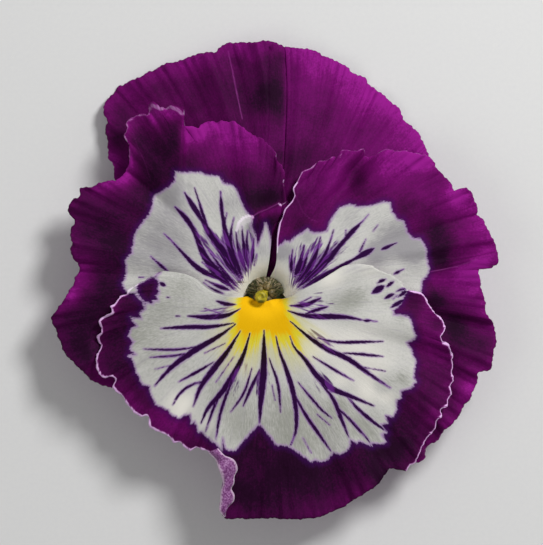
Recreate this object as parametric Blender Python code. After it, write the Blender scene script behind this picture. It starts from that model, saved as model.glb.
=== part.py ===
"""A pansy bloom picked with a short stalk, lying face up on its stalk and its two upper petals.

Units are metres and +Z is up. The face looks up, the lower petal points to -Y, and the origin
is under the middle of the bounding box at the surface it lies on."""

import math

import bmesh
import bpy
import numpy as np
from mathutils.bvhtree import BVHTree

MM = 0.001

# Driving dimensions
FACE_WIDTH = 76.2 * MM  # from the left petal tip to the right petal tip
THROAT_HEIGHT = 11.5 * MM  # petal surface at the throat, above the table
PETAL_THICKNESS = 0.62 * MM
CLAW_RADIUS = 2.6 * MM  # where the side and lower petals leave the receptacle
UPPER_CLAW_RADIUS = 4.2 * MM
FUNNEL_DEPTH = 3.5 * MM
FUNNEL_WIDTH = 5.0 * MM
LAYER_CLEARANCE = 0.85 * MM  # from one petal's middle surface to the underside of the next
SIDE_DROOP = 3.2 * MM  # how far the side petals fall by the rim
LOWER_DROOP = 3.0 * MM
RIM_RADIUS = 40.0 * MM
RUFFLE = 0.85 * MM  # height of the waves at the rims
PLEAT_HEIGHT = 3.6 * MM  # of the upright pleat in the left side petal
SEPAL_THICKNESS = 0.8 * MM
SEPAL_LENGTH = 16.0 * MM  # from the throat's axis to the tip
SEPAL_HALF_WIDTH = 1.9 * MM
SEPAL_ANGLES = (90, 162, 222, 318, 18)
STALK_RADIUS = 1.1 * MM
STALK_END = 35.0 * MM  # how far the stalk reaches under the lower petal
STALK_HEIGHT = 0.95 * MM  # of its middle where it lies on the table
RECEPTACLE_RADIUS = 3.6 * MM
SPUR_RADIUS = 1.4 * MM
OVARY_RADIUS = 1.2 * MM
STIGMA_RADIUS = 1.0 * MM
ANTHER_RADIUS = 2.2 * MM

# The outlines are read off the picture of the face, in its pixels, x to the right and y down.
PICTURE_WIDTH_OF_FACE = 448.0
PICTURE_THROAT = (265.0, 293.0)
PIXEL = FACE_WIDTH / PICTURE_WIDTH_OF_FACE

UPPER_RIGHT_RIM = [
    (285, 45), (301, 47), (315, 49), (329, 56), (347, 65), (366, 76), (384, 93), (402, 110),
    (407, 120), (419, 131), (428, 150), (434, 172)]
UPPER_RIGHT_INNER = [(266, 268), (272, 250), (280, 200), (286, 130), (287, 85), (285, 45)]
UPPER_RIGHT_OUTER = [(284, 277), (330, 240), (385, 205), (434, 172)]

UPPER_LEFT_RIM = [
    (299, 52), (285, 46), (267, 39), (240, 41), (222, 44), (215, 51), (200, 52), (178, 59),
    (160, 64), (146, 71), (129, 79), (113, 90), (102, 107), (106, 122), (106, 148), (112, 163),
    (116, 186)]
UPPER_LEFT_INNER = [(268, 268), (276, 240), (288, 180), (299, 120), (301, 85), (299, 52)]
UPPER_LEFT_OUTER = [(246, 277), (205, 245), (160, 212), (116, 186)]

SIDE_LEFT_RIM = [
    (285, 202), (285, 188), (285, 173), (277, 160), (263, 139), (241, 126), (221, 120),
    (205, 122), (194, 126), (184, 122), (178, 109), (166, 108), (152, 109), (136, 115),
    (126, 122), (127, 135), (129, 150), (126, 170), (107, 180), (90, 187), (80, 190), (72, 200),
    (69, 215), (73, 224), (71, 237), (71, 252), (77, 270), (64, 298), (52, 318), (60, 343),
    (79, 369), (101, 385), (124, 388)]
SIDE_LEFT_INNER = [(266, 277.7), (269, 262), (271, 245), (273, 228), (281, 214), (285, 202)]
SIDE_LEFT_OUTER = [(251.5, 286), (243, 297), (228, 307), (190, 336), (150, 367), (124, 388)]

SIDE_RIGHT_RIM = [
    (303, 171), (319, 161), (335, 156), (343, 150), (356, 151), (365, 154), (388, 149),
    (407, 151), (425, 154), (437, 168), (447, 178), (456, 188), (468, 189), (475, 201),
    (479, 215), (487, 227), (494, 242), (498, 258), (492, 268), (481, 273), (482, 290),
    (487, 310), (495, 330), (496, 345), (491, 368), (478, 382), (462, 411), (443, 433),
    (424, 452), (402, 455)]
SIDE_RIGHT_INNER = [
    (269.5, 278.3), (276, 262), (278, 240), (279, 223), (286, 207), (293, 200), (295, 186), (303, 171)]
SIDE_RIGHT_OUTER = [(278.5, 286), (288, 300), (307, 314), (350, 380), (402, 455)]

LOWER_RIM = [
    (163, 271), (145, 281), (127, 292), (114, 306), (99, 321), (100, 334), (99, 346), (96, 360),
    (103, 377), (114, 385), (128, 406), (146, 417), (157, 431), (174, 442), (194, 449),
    (212, 454), (220, 470), (224, 486), (221, 505), (232, 518), (272, 519), (311, 518),
    (343, 508), (372, 489), (388, 470), (409, 467), (420, 451), (436, 425), (448, 403),
    (454, 381), (453, 356), (444, 341), (443, 325), (428, 303), (408, 290), (379, 270),
    (353, 264)]
LOWER_LEFT = [
    (250, 296), (240, 297.5), (230, 297), (220, 294.5), (211, 291), (204, 286), (197, 279.5),
    (188, 275), (178, 272.5), (163, 271)]
LOWER_RIGHT = [
    (280, 297), (284, 299), (290, 296.5), (297, 292.5), (307, 287.5), (318, 281.5), (332, 273),
    (344, 266), (353, 264)]


def clear_scene():
    for obj in list(bpy.data.objects):
        bpy.data.objects.remove(obj, do_unlink=True)


def material(name, colour, roughness, metallic=0.0):
    made = bpy.data.materials.new(name)
    made.use_nodes = True
    shader = made.node_tree.nodes["Principled BSDF"]
    shader.inputs["Base Color"].default_value = (*colour, 1.0)
    shader.inputs["Roughness"].default_value = roughness
    shader.inputs["Metallic"].default_value = metallic
    return made


def face_plane(pixels):
    """Points of the picture as x and y from the throat."""
    points = np.array(pixels, float) - PICTURE_THROAT
    return points * (PIXEL, -PIXEL)


def smooth_line(points, count):
    """The smooth curve through the points, as count points evenly along it."""
    points = np.array(points, float)
    gaps = np.linalg.norm(np.diff(points, axis=0), axis=1)
    along = np.concatenate([[0.0], np.cumsum(gaps)])
    slope = np.gradient(points, along, axis=0)
    at = along[-1] * np.linspace(0.0, 1.0, count)
    i = np.clip(np.searchsorted(along, at, side="right") - 1, 0, len(gaps) - 1)
    gap = gaps[i][:, None]
    t = (at - along[i])[:, None] / gap
    start = (2 * t**3 - 3 * t**2 + 1) * points[i] + (t**3 - 2 * t**2 + t) * gap * slope[i]
    end = (3 * t**2 - 2 * t**3) * points[i + 1] + (t**3 - t**2) * gap * slope[i + 1]
    return start + end


def patch(base, rim, first, last):
    """The grid of points that fills the loop of four curves."""
    u = np.linspace(0.0, 1.0, len(base))[:, None, None]
    v = np.linspace(0.0, 1.0, len(first))[None, :, None]
    across = (1 - v) * base[:, None] + v * rim[:, None]
    along = (1 - u) * first[None] + u * last[None]
    near = (1 - u) * base[0] + u * base[-1]
    far = (1 - u) * rim[0] + u * rim[-1]
    return across + along - (1 - v) * near - v * far


def claw_arc(first, last, count, clockwise):
    """The claw's end, an arc round the throat from one side curve to the other."""
    a = math.atan2(first[1], first[0])
    b = math.atan2(last[1], last[0])
    turn = (a - b) % (2 * math.pi) if clockwise else -((b - a) % (2 * math.pi))
    angles = a - np.linspace(0.0, turn, count)
    radii = np.linspace(np.hypot(*first), np.hypot(*last), count)
    return np.stack([radii * np.cos(angles), radii * np.sin(angles)], axis=1)


def petal_grid(rim, first, last, across, along, clockwise):
    """The petal seen from the front: across columns of along points, from claw to rim."""
    first = smooth_line(face_plane(first), along)
    last = smooth_line(face_plane(last), along)
    rim = smooth_line(face_plane(rim), across)
    base = claw_arc(first[0], last[0], across, clockwise)
    return patch(base, rim, first, last)


def ease(t):
    t = np.clip(t, 0.0, 1.0)
    return t * t * (3 - 2 * t)


def funnel(x, y, start):
    """How far the surface lies below the face near the throat."""
    return FUNNEL_DEPTH * (1 - ease((np.hypot(x, y) - start) / FUNNEL_WIDTH))


def droop(x, y, depth):
    return depth * (np.hypot(x, y) / RIM_RADIUS) ** 1.5


def ridge(x, y, start, end, before, after):
    """A pleat along the line from start to end: 1 on it, falling off over before on its left
    side and over after on its right side, and towards its start."""
    start, end = face_plane([start, end])
    line = end - start
    length = np.hypot(*line)
    ahead = ((x - start[0]) * line[0] + (y - start[1]) * line[1]) / length
    left = ((y - start[1]) * line[0] - (x - start[0]) * line[1]) / length
    side = np.where(left > 0, 1 - ease(left / before), 1 - ease(-left / after))
    return side * ease(ahead / length)


def waves(grid, count, phase):
    """Ruffles that grow towards the rim, evenly spread round the throat."""
    angle = np.unwrap(np.arctan2(grid[:, -1, 1], grid[:, -1, 0]))
    u = ((angle - angle[0]) / (angle[-1] - angle[0]))[:, None]
    v = np.linspace(0.0, 1.0, grid.shape[1])[None, :]
    first = np.sin(2 * math.pi * (count * u + phase))
    second = 0.45 * np.sin(2 * math.pi * (count * 1.5 * u + 0.3 + phase))
    return (first + second) * v**3


def side_left_height(grid):
    x, y = grid[..., 0], grid[..., 1]
    z = THROAT_HEIGHT - funnel(x, y, CLAW_RADIUS) - droop(x, y, SIDE_DROOP)
    z += PLEAT_HEIGHT * ridge(x, y, (175, 205), (179, 140), 8 * MM, 3.2 * MM)
    z += 1.4 * MM * ridge(x, y, (228, 232), (268, 213), 4.5 * MM, 5 * MM)
    z -= 0.8 * MM * ridge(x, y, (200, 200), (216, 140), 8 * MM, 8 * MM)
    return z + RUFFLE * waves(grid, 8, 0.1)


def side_right_height(grid):
    x, y = grid[..., 0], grid[..., 1]
    z = THROAT_HEIGHT - funnel(x, y, CLAW_RADIUS) - droop(x, y, SIDE_DROOP)
    z += 2.4 * MM * ridge(x, y, (425, 272), (478, 260), 3.0 * MM, 7 * MM)
    z -= 1.5 * MM * ridge(x, y, (330, 230), (355, 165), 3.5 * MM, 3.5 * MM)
    return z + RUFFLE * waves(grid, 8, 0.35)


def lower_height(grid):
    x, y = grid[..., 0], grid[..., 1]
    z = THROAT_HEIGHT + 0.4 * MM - funnel(x, y, CLAW_RADIUS) - droop(x, y, LOWER_DROOP)
    z += 0.9 * MM * ease(np.hypot(x, y) / (14 * MM))
    z += 1.2 * MM * ridge(x, y, (235, 400), (221, 485), 4 * MM, 4 * MM)
    return z + RUFFLE * waves(grid, 9, 0.55)


def upper_height(grid, depth, count, phase):
    x, y = grid[..., 0], grid[..., 1]
    outward = 0.62 + 0.38 * ease(np.abs(x) / (24 * MM))
    z = THROAT_HEIGHT - 1.5 * MM - funnel(x, y, UPPER_CLAW_RADIUS) - outward * droop(x, y, depth)
    return z + 0.8 * RUFFLE * waves(grid, count, phase)


def normals(surface):
    """Directions square to the surface, on its upper side for most of it."""
    du = np.gradient(surface, axis=0)
    dv = np.gradient(surface, axis=1)
    n = np.cross(du, dv)
    n *= math.copysign(1.0, n[..., 2].mean())
    return n / np.linalg.norm(n, axis=2, keepdims=True)


def blade_mesh(surface, thickness):
    """Points and triangles of the blade that has the surface in its middle. Both faces are
    split along the same diagonals."""
    rows, columns = surface.shape[:2]
    offset = normals(surface) * thickness / 2
    points = np.concatenate([(surface + offset).reshape(-1, 3), (surface - offset).reshape(-1, 3)])
    back = rows * columns
    index = np.arange(back).reshape(rows, columns)
    a, b = index[:-1, :-1].ravel(), index[1:, :-1].ravel()
    c, d = index[1:, 1:].ravel(), index[:-1, 1:].ravel()
    front = np.concatenate([np.stack([a, b, c], 1), np.stack([a, c, d], 1)])
    edge = np.concatenate([index[:-1, 0], index[-1, :-1], index[:0:-1, -1], index[0, :0:-1]])
    after = np.roll(edge, -1)
    wall = np.concatenate([
        np.stack([edge, edge + back, after + back], 1), np.stack([edge, after + back, after], 1)])
    return points, np.concatenate([front, front[:, ::-1] + back, wall])


def solid(name, points, faces, look):
    mesh = bpy.data.meshes.new(name)
    mesh.from_pydata([tuple(p) for p in points], [], [tuple(int(i) for i in f) for f in faces])
    shape = bmesh.new()
    shape.from_mesh(mesh)
    bmesh.ops.recalc_face_normals(shape, faces=shape.faces)
    if shape.calc_volume(signed=True) < 0:
        bmesh.ops.reverse_faces(shape, faces=shape.faces)
    shape.to_mesh(mesh)
    shape.free()
    mesh.materials.append(look)
    obj = bpy.data.objects.new(name, mesh)
    bpy.context.scene.collection.objects.link(obj)
    return obj


MAP_STEP = 0.6 * MM
MAP_HALF = 48.0 * MM
MAP_REACH = 7
FAR = 1.0


def underside_map(blades):
    """Height of the lowest surface of the blades over a square grid, FAR where there is none."""
    at = np.arange(-MAP_HALF, MAP_HALF + MAP_STEP / 2, MAP_STEP)
    heights = np.full((len(at), len(at)), FAR)
    for points, faces in blades:
        tree = BVHTree.FromPolygons([tuple(p) for p in points], [tuple(map(int, f)) for f in faces])
        low, high = points.min(axis=0), points.max(axis=0)
        for i in np.nonzero((at > low[0]) & (at < high[0]))[0]:
            for j in np.nonzero((at > low[1]) & (at < high[1]))[0]:
                hit = tree.ray_cast((at[i], at[j], -0.05), (0.0, 0.0, 1.0))[0]
                if hit is not None:
                    heights[i, j] = min(heights[i, j], hit[2])
    return heights


def kept_clear(heights, distance, slope=0.8):
    """How high a middle surface may be with the distance kept to the blades above it. It falls
    away from under their edges at the slope."""
    padded = np.pad(heights, MAP_REACH, constant_values=FAR)
    size = len(heights)
    clear = np.full_like(heights, FAR)
    tangent = distance * slope / math.hypot(1, slope)
    for i in range(-MAP_REACH, MAP_REACH + 1):
        for j in range(-MAP_REACH, MAP_REACH + 1):
            away = MAP_STEP * math.hypot(i, j)
            if away > MAP_STEP * MAP_REACH:
                continue
            drop = -math.sqrt(distance**2 - min(away, tangent) ** 2)
            drop += slope * max(away - tangent, 0.0)
            part = padded[
                MAP_REACH + i:MAP_REACH + i + size, MAP_REACH + j:MAP_REACH + j + size]
            clear = np.minimum(clear, part + drop)
    return clear


def pressed_under(surface, clear):
    """The surface lowered smoothly wherever it would be above the clear height."""
    size = len(clear)
    fx = np.clip((surface[..., 0] + MAP_HALF) / MAP_STEP, 0, size - 1.001)
    fy = np.clip((surface[..., 1] + MAP_HALF) / MAP_STEP, 0, size - 1.001)
    i, j = fx.astype(int), fy.astype(int)
    tx, ty = fx - i, fy - j
    limit = (clear[i, j] * (1 - tx) + clear[i + 1, j] * tx) * (1 - ty)
    limit += (clear[i, j + 1] * (1 - tx) + clear[i + 1, j + 1] * tx) * ty
    z = surface[..., 2]
    soft = 1.0 * MM
    limit = np.minimum(limit, z + 2 * soft)
    blend = np.maximum(soft - np.abs(z - limit), 0.0)
    return np.dstack([surface[..., :2], np.minimum(z, limit) - blend**2 / (4 * soft)])


def petal(surface, above):
    """The pressed surface and its blade."""
    if above:
        distance = LAYER_CLEARANCE + PETAL_THICKNESS / 2
        surface = pressed_under(surface, kept_clear(underside_map(above), distance))
    return surface, blade_mesh(surface, PETAL_THICKNESS)


def upper_touching_table(grid, above, count, phase):
    """The upper petal's blade with the droop that brings its lowest point to the table."""
    distance = LAYER_CLEARANCE + PETAL_THICKNESS / 2
    clear = kept_clear(underside_map(above), distance)
    low, high = 2 * MM, 20 * MM
    for _ in range(24):
        depth = (low + high) / 2
        height = upper_height(grid, depth, count, phase)
        surface = pressed_under(np.dstack([grid, height]), clear)
        blade = blade_mesh(surface, PETAL_THICKNESS)
        low, high = (low, depth) if blade[0][:, 2].min() < 0 else (depth, high)
    return surface, blade


def sepal_surface(angle):
    """A pointed blade that leaves the receptacle with a small ear turned back along it."""
    length = SEPAL_LENGTH / MM
    half = SEPAL_HALF_WIDTH / MM
    radius = [4.75, 4.2, 4.35, 5.6, 8.0, 11.0, length - 1.5, length]
    height = [3.4, 4.3, 5.4, 6.3, 7.0, 7.2, 6.9, 6.6]
    width = [0.35, 0.8, 0.85, 0.95, half, half, 0.45 * half, 0.1]
    profile = smooth_line(np.stack([radius, height, width], axis=1), 13)
    side = profile[:, 2:] * np.linspace(-1.0, 1.0, 5)[None, :]
    z = profile[:, 1:2] - 0.12 * side**2
    a = math.radians(angle)
    x = profile[:, :1] * math.cos(a) - side * math.sin(a)
    y = profile[:, :1] * math.sin(a) + side * math.cos(a)
    return np.dstack([x, y, z]) * MM


def ring_mesh(rings, capped=True):
    """Points and faces of a stack of closed rings, with a face over each end, or with the last
    ring joined to the first."""
    count, around = rings.shape[:2]
    points = rings.reshape(-1, 3)
    faces = []
    for i in range(count - 1 if capped else count):
        for j in range(around):
            k = (j + 1) % around
            above = (i + 1) % count
            faces.append((i * around + j, i * around + k, above * around + k, above * around + j))
    if capped:
        faces.append(tuple(range(around))[::-1])
        faces.append(tuple(range((count - 1) * around, count * around)))
    return points, faces


def tube_rings(path, radii, around):
    """Rings of the radii about a path that lies in a plane of constant x, or nearly."""
    ahead = np.gradient(path, axis=0)
    ahead /= np.linalg.norm(ahead, axis=1, keepdims=True)
    side = np.array([1.0, 0.0, 0.0]) - ahead * ahead[:, :1]
    side /= np.linalg.norm(side, axis=1, keepdims=True)
    other = np.cross(ahead, side)
    turn = np.linspace(0.0, 2 * math.pi, around, endpoint=False)[None, :, None]
    ring = np.cos(turn) * side[:, None] + np.sin(turn) * other[:, None]
    return path[:, None] + np.asarray(radii)[:, None, None] * ring


def join(target, tools):
    for tool in tools:
        modifier = target.modifiers.new("join", "BOOLEAN")
        modifier.operation = "UNION"
        modifier.solver = "EXACT"
        modifier.object = tool
        bpy.context.view_layer.update()
        graph = bpy.context.evaluated_depsgraph_get()
        joined = bpy.data.meshes.new_from_object(target.evaluated_get(graph))
        target.modifiers.clear()
        target.data = joined
        bpy.data.objects.remove(tool, do_unlink=True)
    return target


def spur(look):
    """The blunt nectar spur behind the lower petal's claw."""
    path = np.array([(0, -4.2, 9.4), (0, -5.0, 8.5), (0, -5.6, 7.4), (0, -5.8, 6.1), (0, -5.9, 4.9),
                     (0, -6.0, 3.9), (0, -6.1, 3.1)]) * MM
    radii = np.array([0.7, 0.86, 0.96, 1.0, 0.96, 0.7, 0.2]) * SPUR_RADIUS
    points, faces = ring_mesh(tube_rings(path, radii, 12))
    return solid("spur", points, faces, look)


def build_stalk(look):
    """The stalk along the table, its hook up to the receptacle, and its two bracts."""
    lying = [(0.0, y * MM, STALK_HEIGHT) for y in (-STALK_END / MM, -28, -20, -12, -5)]
    hook = np.array([(0, -1.5, 1.0), (0, 1.0, 1.5), (0, 2.1, 2.6), (0, 1.4, 3.7), (0, 0.35, 4.5),
                     (0, 0.0, 4.9), (0, 0.0, 5.3)]) * MM
    path = smooth_line([*lying, *hook], 30)
    share = np.linspace(0.0, 1.0, len(path))
    radii = STALK_RADIUS * np.interp(share, [0, 0.75, 0.93, 1], [1.0, 0.91, 0.95, 1.36])
    rings = tube_rings(path, radii, 14)
    rings[..., 2] = np.maximum(rings[..., 2], 0.0)
    stalk = solid("stem", *ring_mesh(rings), look)
    full = RECEPTACLE_RADIUS / MM
    cup = np.array([(1.0, 4.7), (2.4, 4.75), (0.92 * full, 5.1), (full, 5.7), (full, 6.6),
                    (0.89 * full, 7.2), (0.56 * full, 7.2)])
    turn = np.linspace(0.0, 2 * math.pi, 24, endpoint=False)
    ring = np.stack([np.cos(turn), np.sin(turn), np.zeros(24)], axis=1)
    disc = np.array([r * ring + (0, 0, z) for r, z in cup]) * MM
    receptacle = solid("receptacle", *ring_mesh(disc), look)
    bracts = []
    for side, at in ((1, -17.0), (-1, -20.0)):
        start = np.array([side * 0.5, at, 1.3])
        tip = np.array([side * 2.3, at - 2.4, 1.9])
        path = np.array([start + t * (tip - start) for t in (0.0, 0.4, 0.8, 1.0)])
        scale = np.array([0.55, 0.6, 0.3, 0.08])
        rings = tube_rings(path, scale, 8)
        rings[..., 2] = path[:, None, 2] + 0.6 * (rings[..., 2] - path[:, None, 2])
        bracts.append(solid("bract", *ring_mesh(rings * MM), look))
    return join(stalk, [receptacle, *bracts])


def build_pistil(look):
    """The ovary, the thin style that leans to the lower left, and the round stigma."""
    ovary = OVARY_RADIUS / MM
    stigma = STIGMA_RADIUS / MM
    profile = np.array([
        (0.58 * ovary, 7.7), (0.96 * ovary, 8.1), (ovary, 8.8), (0.83 * ovary, 9.5), (0.55, 10.0),
        (0.42, 10.5), (0.45, 10.9), (0.75 * stigma, 11.1), (0.98 * stigma, 11.5), (stigma, 11.8),
        (0.85 * stigma, 12.2), (0.5 * stigma, 12.5), (0.15 * stigma, 12.6)])
    lean = ease((profile[:, 1] - 9.3) / 2.2)
    turn = np.linspace(0.0, 2 * math.pi, 18, endpoint=False)
    ring = np.stack([np.cos(turn), np.sin(turn), np.zeros(18)], axis=1)
    rings = [r * ring + (-0.65 * t, -0.65 * t, z) for (r, z), t in zip(profile, lean)]
    return solid("pistil", *ring_mesh(np.array(rings) * MM), look)


def build_stamens(look):
    """Five anthers joined in a ring round the ovary, each ending in a blunt tip."""
    full = ANTHER_RADIUS / MM
    profile = np.array([(1.5, 7.65), (1.5, 9.0), (1.25, 9.9), (1.35, 10.35), (0.8 * full, 10.1),
                        (0.98 * full, 9.2), (full, 8.2), (0.89 * full, 7.65)])
    turn = np.linspace(0.0, 2 * math.pi, 30, endpoint=False)
    lobe = np.abs(np.cos(2.5 * turn))
    rings = []
    for r, z in profile:
        reach = r + (0.12 * lobe - 0.12) * (r > 1.6)
        lift = z - 0.5 * (1 - lobe) * ease((z - 8.5) / 1.8)
        rings.append(np.stack([reach * np.cos(turn), reach * np.sin(turn), lift], axis=1))
    return solid("stamens", *ring_mesh(np.array(rings) * MM, capped=False), look)


def centre_over_origin():
    """Shifts every mesh so that the origin is under the middle of the bounding box."""
    corners = [v.co for obj in bpy.data.objects for v in obj.data.vertices]
    low = np.min(corners, axis=0)
    high = np.max(corners, axis=0)
    shift = -(low + high) / 2
    for obj in bpy.data.objects:
        for v in obj.data.vertices:
            v.co.x += shift[0]
            v.co.y += shift[1]


def main():
    clear_scene()
    purple = material("upper petals", (0.10, 0.008, 0.10), 0.65)
    side = material("side petals", (0.17, 0.02, 0.16), 0.65)
    front = material("lower petal", (0.20, 0.03, 0.19), 0.65)
    green = material("sepals", (0.10, 0.22, 0.04), 0.6)
    stalk = material("stalk", (0.13, 0.26, 0.05), 0.55)
    yellow = material("pistil", (0.45, 0.5, 0.10), 0.5)
    orange = material("anthers", (0.55, 0.35, 0.12), 0.7)

    grid = petal_grid(LOWER_RIM, LOWER_LEFT, LOWER_RIGHT, 56, 13, False)
    _, lower = petal(np.dstack([grid, lower_height(grid)]), [])
    grid = petal_grid(SIDE_LEFT_RIM, SIDE_LEFT_INNER, SIDE_LEFT_OUTER, 50, 13, False)
    _, left = petal(np.dstack([grid, side_left_height(grid)]), [lower])
    grid = petal_grid(SIDE_RIGHT_RIM, SIDE_RIGHT_INNER, SIDE_RIGHT_OUTER, 50, 13, True)
    _, right = petal(np.dstack([grid, side_right_height(grid)]), [lower])
    above = [lower, left, right]
    grid = petal_grid(UPPER_RIGHT_RIM, UPPER_RIGHT_INNER, UPPER_RIGHT_OUTER, 24, 12, True)
    _, upper_right = upper_touching_table(grid, above, 3.5, 0.2)
    above.append(upper_right)
    grid = petal_grid(UPPER_LEFT_RIM, UPPER_LEFT_INNER, UPPER_LEFT_OUTER, 30, 12, False)
    _, upper_left = upper_touching_table(grid, above, 4.5, 0.6)
    above.append(upper_left)

    join(solid("lower_petal", *lower, front), [spur(front)])
    solid("lateral_petal_left", *left, side)
    solid("lateral_petal_right", *right, side)
    solid("upper_petal_right", *upper_right, purple)
    solid("upper_petal_left", *upper_left, purple)
    clear = kept_clear(underside_map(above), SEPAL_THICKNESS / 2 + LAYER_CLEARANCE / 2)
    for number, angle in enumerate(SEPAL_ANGLES, 1):
        surface = pressed_under(sepal_surface(angle), clear)
        solid(f"sepal_{number}", *blade_mesh(surface, SEPAL_THICKNESS), green)
    build_stalk(stalk)
    build_pistil(yellow)
    build_stamens(orange)
    centre_over_origin()


main()
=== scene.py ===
"""The looks of the pansy bloom: finely ruffled petals with their markings, sepals, stalk and
the parts of the throat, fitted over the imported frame."""

import math
import random

import bpy
import numpy as np
from mathutils import Matrix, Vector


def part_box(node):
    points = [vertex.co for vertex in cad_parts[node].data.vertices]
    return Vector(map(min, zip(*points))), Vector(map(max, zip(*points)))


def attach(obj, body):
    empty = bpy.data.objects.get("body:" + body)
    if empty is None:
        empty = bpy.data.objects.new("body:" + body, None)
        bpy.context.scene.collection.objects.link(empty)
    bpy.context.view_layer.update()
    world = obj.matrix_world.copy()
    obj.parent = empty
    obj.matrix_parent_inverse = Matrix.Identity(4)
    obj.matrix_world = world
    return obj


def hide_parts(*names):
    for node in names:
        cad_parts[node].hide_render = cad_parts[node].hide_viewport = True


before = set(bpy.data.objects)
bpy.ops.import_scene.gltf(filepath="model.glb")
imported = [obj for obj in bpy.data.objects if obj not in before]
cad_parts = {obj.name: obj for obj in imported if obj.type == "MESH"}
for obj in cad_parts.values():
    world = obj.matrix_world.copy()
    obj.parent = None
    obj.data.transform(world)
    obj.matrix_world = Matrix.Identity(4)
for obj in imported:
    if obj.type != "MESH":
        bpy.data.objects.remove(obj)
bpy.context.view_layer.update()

bl_info = {
    "name": "Pansy bloom",
    "version": (1, 0, 0),
    "blender": (4, 5, 0),
    "location": "View3D > Sidebar > Pansy",
    "description": "Builds the petals, sepals, stalk and throat of a pansy bloom",
    "category": "Add Mesh",
}

MM = 0.001

# The bowl of the face about the throat, the teeth of the rims and what lies behind the petals.
THROAT_HEIGHT = 11.5 * MM
CLAW_RADIUS = 2.6 * MM
UPPER_CLAW_RADIUS = 4.2 * MM
FUNNEL_DEPTH = 3.5 * MM
FUNNEL_WIDTH = 5.0 * MM
SIDE_DROOP = 3.2 * MM
LOWER_DROOP = 3.0 * MM
RIM_RADIUS = 40.0 * MM
STALK_END = 35.0 * MM
RIM_TOOTH = 0.042 * MM
ROLL_THICKNESS = 0.3 * MM
SEPAL_THICKNESS = 0.5 * MM
SEPAL_ANGLES = (90, 162, 222, 318, 18)

# How far a piece stays under the petals in front of it, and how steeply it may come up there.
PETAL_GAP = 0.4 * MM
UPPER_GAP = 0.08 * MM
SEPAL_GAP = 0.65 * MM
STEEP = 0.8
GENTLE = 0.15

# How many points a petal has across it and from the throat to its rim, and its fine streaks.
LOWER_POINTS = 400, 118
SIDE_POINTS = 400, 112
UPPER_RIGHT_POINTS = 280, 90
UPPER_LEFT_POINTS = 300, 90
LOWER_STREAKS = 150.0
SIDE_STREAKS = 130.0
UPPER_RIGHT_STREAKS = 90.0
UPPER_LEFT_STREAKS = 100.0
HAIRS = 260
# Where along its length a vein is widest.
LOWER_WIDEST = 0.52
SIDE_WIDEST = 0.68

# The stage, in metres, with the camera's sensor in millimetres.
FLOOR_SIZE = 1.6
CAMERA_DISTANCE = 1.2
SENSOR_WIDTH = 36.0
DAYLIGHT = 0.27

# The picture of the face, in pixels, and its scale.
FACE_WIDTH = 76.2 * MM
PICTURE_WIDTH_OF_FACE = 448.0
PICTURE_SIZE = (543, 545)
PICTURE_THROAT = (265.0, 293.0)
PIXEL = FACE_WIDTH / PICTURE_WIDTH_OF_FACE
FAR_IN_PIXELS = 60.0


def stretch(line, first, last):
    """The points of the line from the first to the last of the two given."""
    return line[line.index(first):line.index(last) + 1]


# The outlines and the markings are read off the picture of the face, in its pixels.
UPPER_RIGHT_RIM = [
    (285, 45), (291, 45.5), (301, 47), (308, 47), (315, 49), (322, 53), (329, 56), (338, 60), (347, 65),
    (352, 70), (357, 73), (366, 76), (370, 83), (377, 88), (384, 93), (391, 100), (397, 104), (402, 110),
    (405, 119), (413, 125), (419, 131), (424, 140), (428, 150), (432, 160), (434, 172)]
UPPER_RIGHT_INNER = [(266, 278), (268, 268), (272, 250), (280, 200), (286, 130), (287, 85), (285, 45)]
UPPER_RIGHT_OUTER = [(278, 285), (284, 277), (330, 240), (385, 205), (434, 172)]

UPPER_LEFT_RIM = [
    (299, 52), (285, 45.5), (279, 42.5), (273, 40.5), (267, 39), (259, 40.5), (251, 41), (238, 41),
    (226, 42), (219, 46), (215, 51), (207, 50.5), (200, 52), (189, 55), (178, 59.5), (169, 61), (160, 64),
    (153, 68.5), (146, 71), (138, 76), (129, 79), (122, 83), (117, 85), (111, 93), (105, 99), (102, 107),
    (103, 113), (106, 120), (104, 129), (106, 138), (107, 148), (107, 157), (112, 163), (113, 174),
    (116, 186)]
UPPER_LEFT_INNER = [(267, 278), (269, 268), (276, 240), (288, 180), (299, 120), (301, 85), (299, 52)]
UPPER_LEFT_OUTER = [(252, 285), (246, 277), (205, 245), (160, 212), (116, 186)]

SIDE_LEFT_RIM = [
    (285, 202), (285, 191), (283, 180), (285, 173), (282.5, 167), (277, 160), (275, 151), (269, 145),
    (263, 139), (256, 136), (249, 132), (241, 126), (234, 121), (228, 121.5), (221, 120), (217, 122),
    (211, 121), (205, 121.5), (201, 125), (197, 128), (194, 126), (188, 126), (184, 122), (182, 113),
    (176, 107), (171, 105), (166, 108), (161, 107.5), (157.5, 108), (157.5, 104), (154.5, 102), (151, 102),
    (148.4, 104.5), (148.6, 109), (148, 114), (142, 113.5), (136, 115), (129, 119), (126, 122), (127, 128),
    (124, 135), (127, 141), (129, 146), (129, 153), (129, 160), (126, 170), (121, 176), (116, 180),
    (107, 180.5), (98, 183.5), (90, 187), (85, 187), (80, 188), (79, 196), (72, 200), (68, 206), (68, 213),
    (72, 217), (74, 222), (71, 228), (70, 237), (72, 243), (70, 251), (72, 257), (77, 263), (79, 270),
    (75, 277), (73, 284), (68, 292), (64, 299), (57, 309), (51, 318), (52, 324), (55, 329), (57, 336),
    (60, 343), (63, 351), (68, 358), (74, 363), (79, 369), (85, 374), (90, 380), (101, 385), (111, 388),
    (124, 388)]
SIDE_LEFT_INNER = [(266, 277.7), (269, 262), (271, 245), (273, 228), (281, 214), (285, 202)]
SIDE_LEFT_OUTER = [(251.5, 286), (243, 297), (228, 307), (190, 336), (150, 367), (124, 388)]

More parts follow.
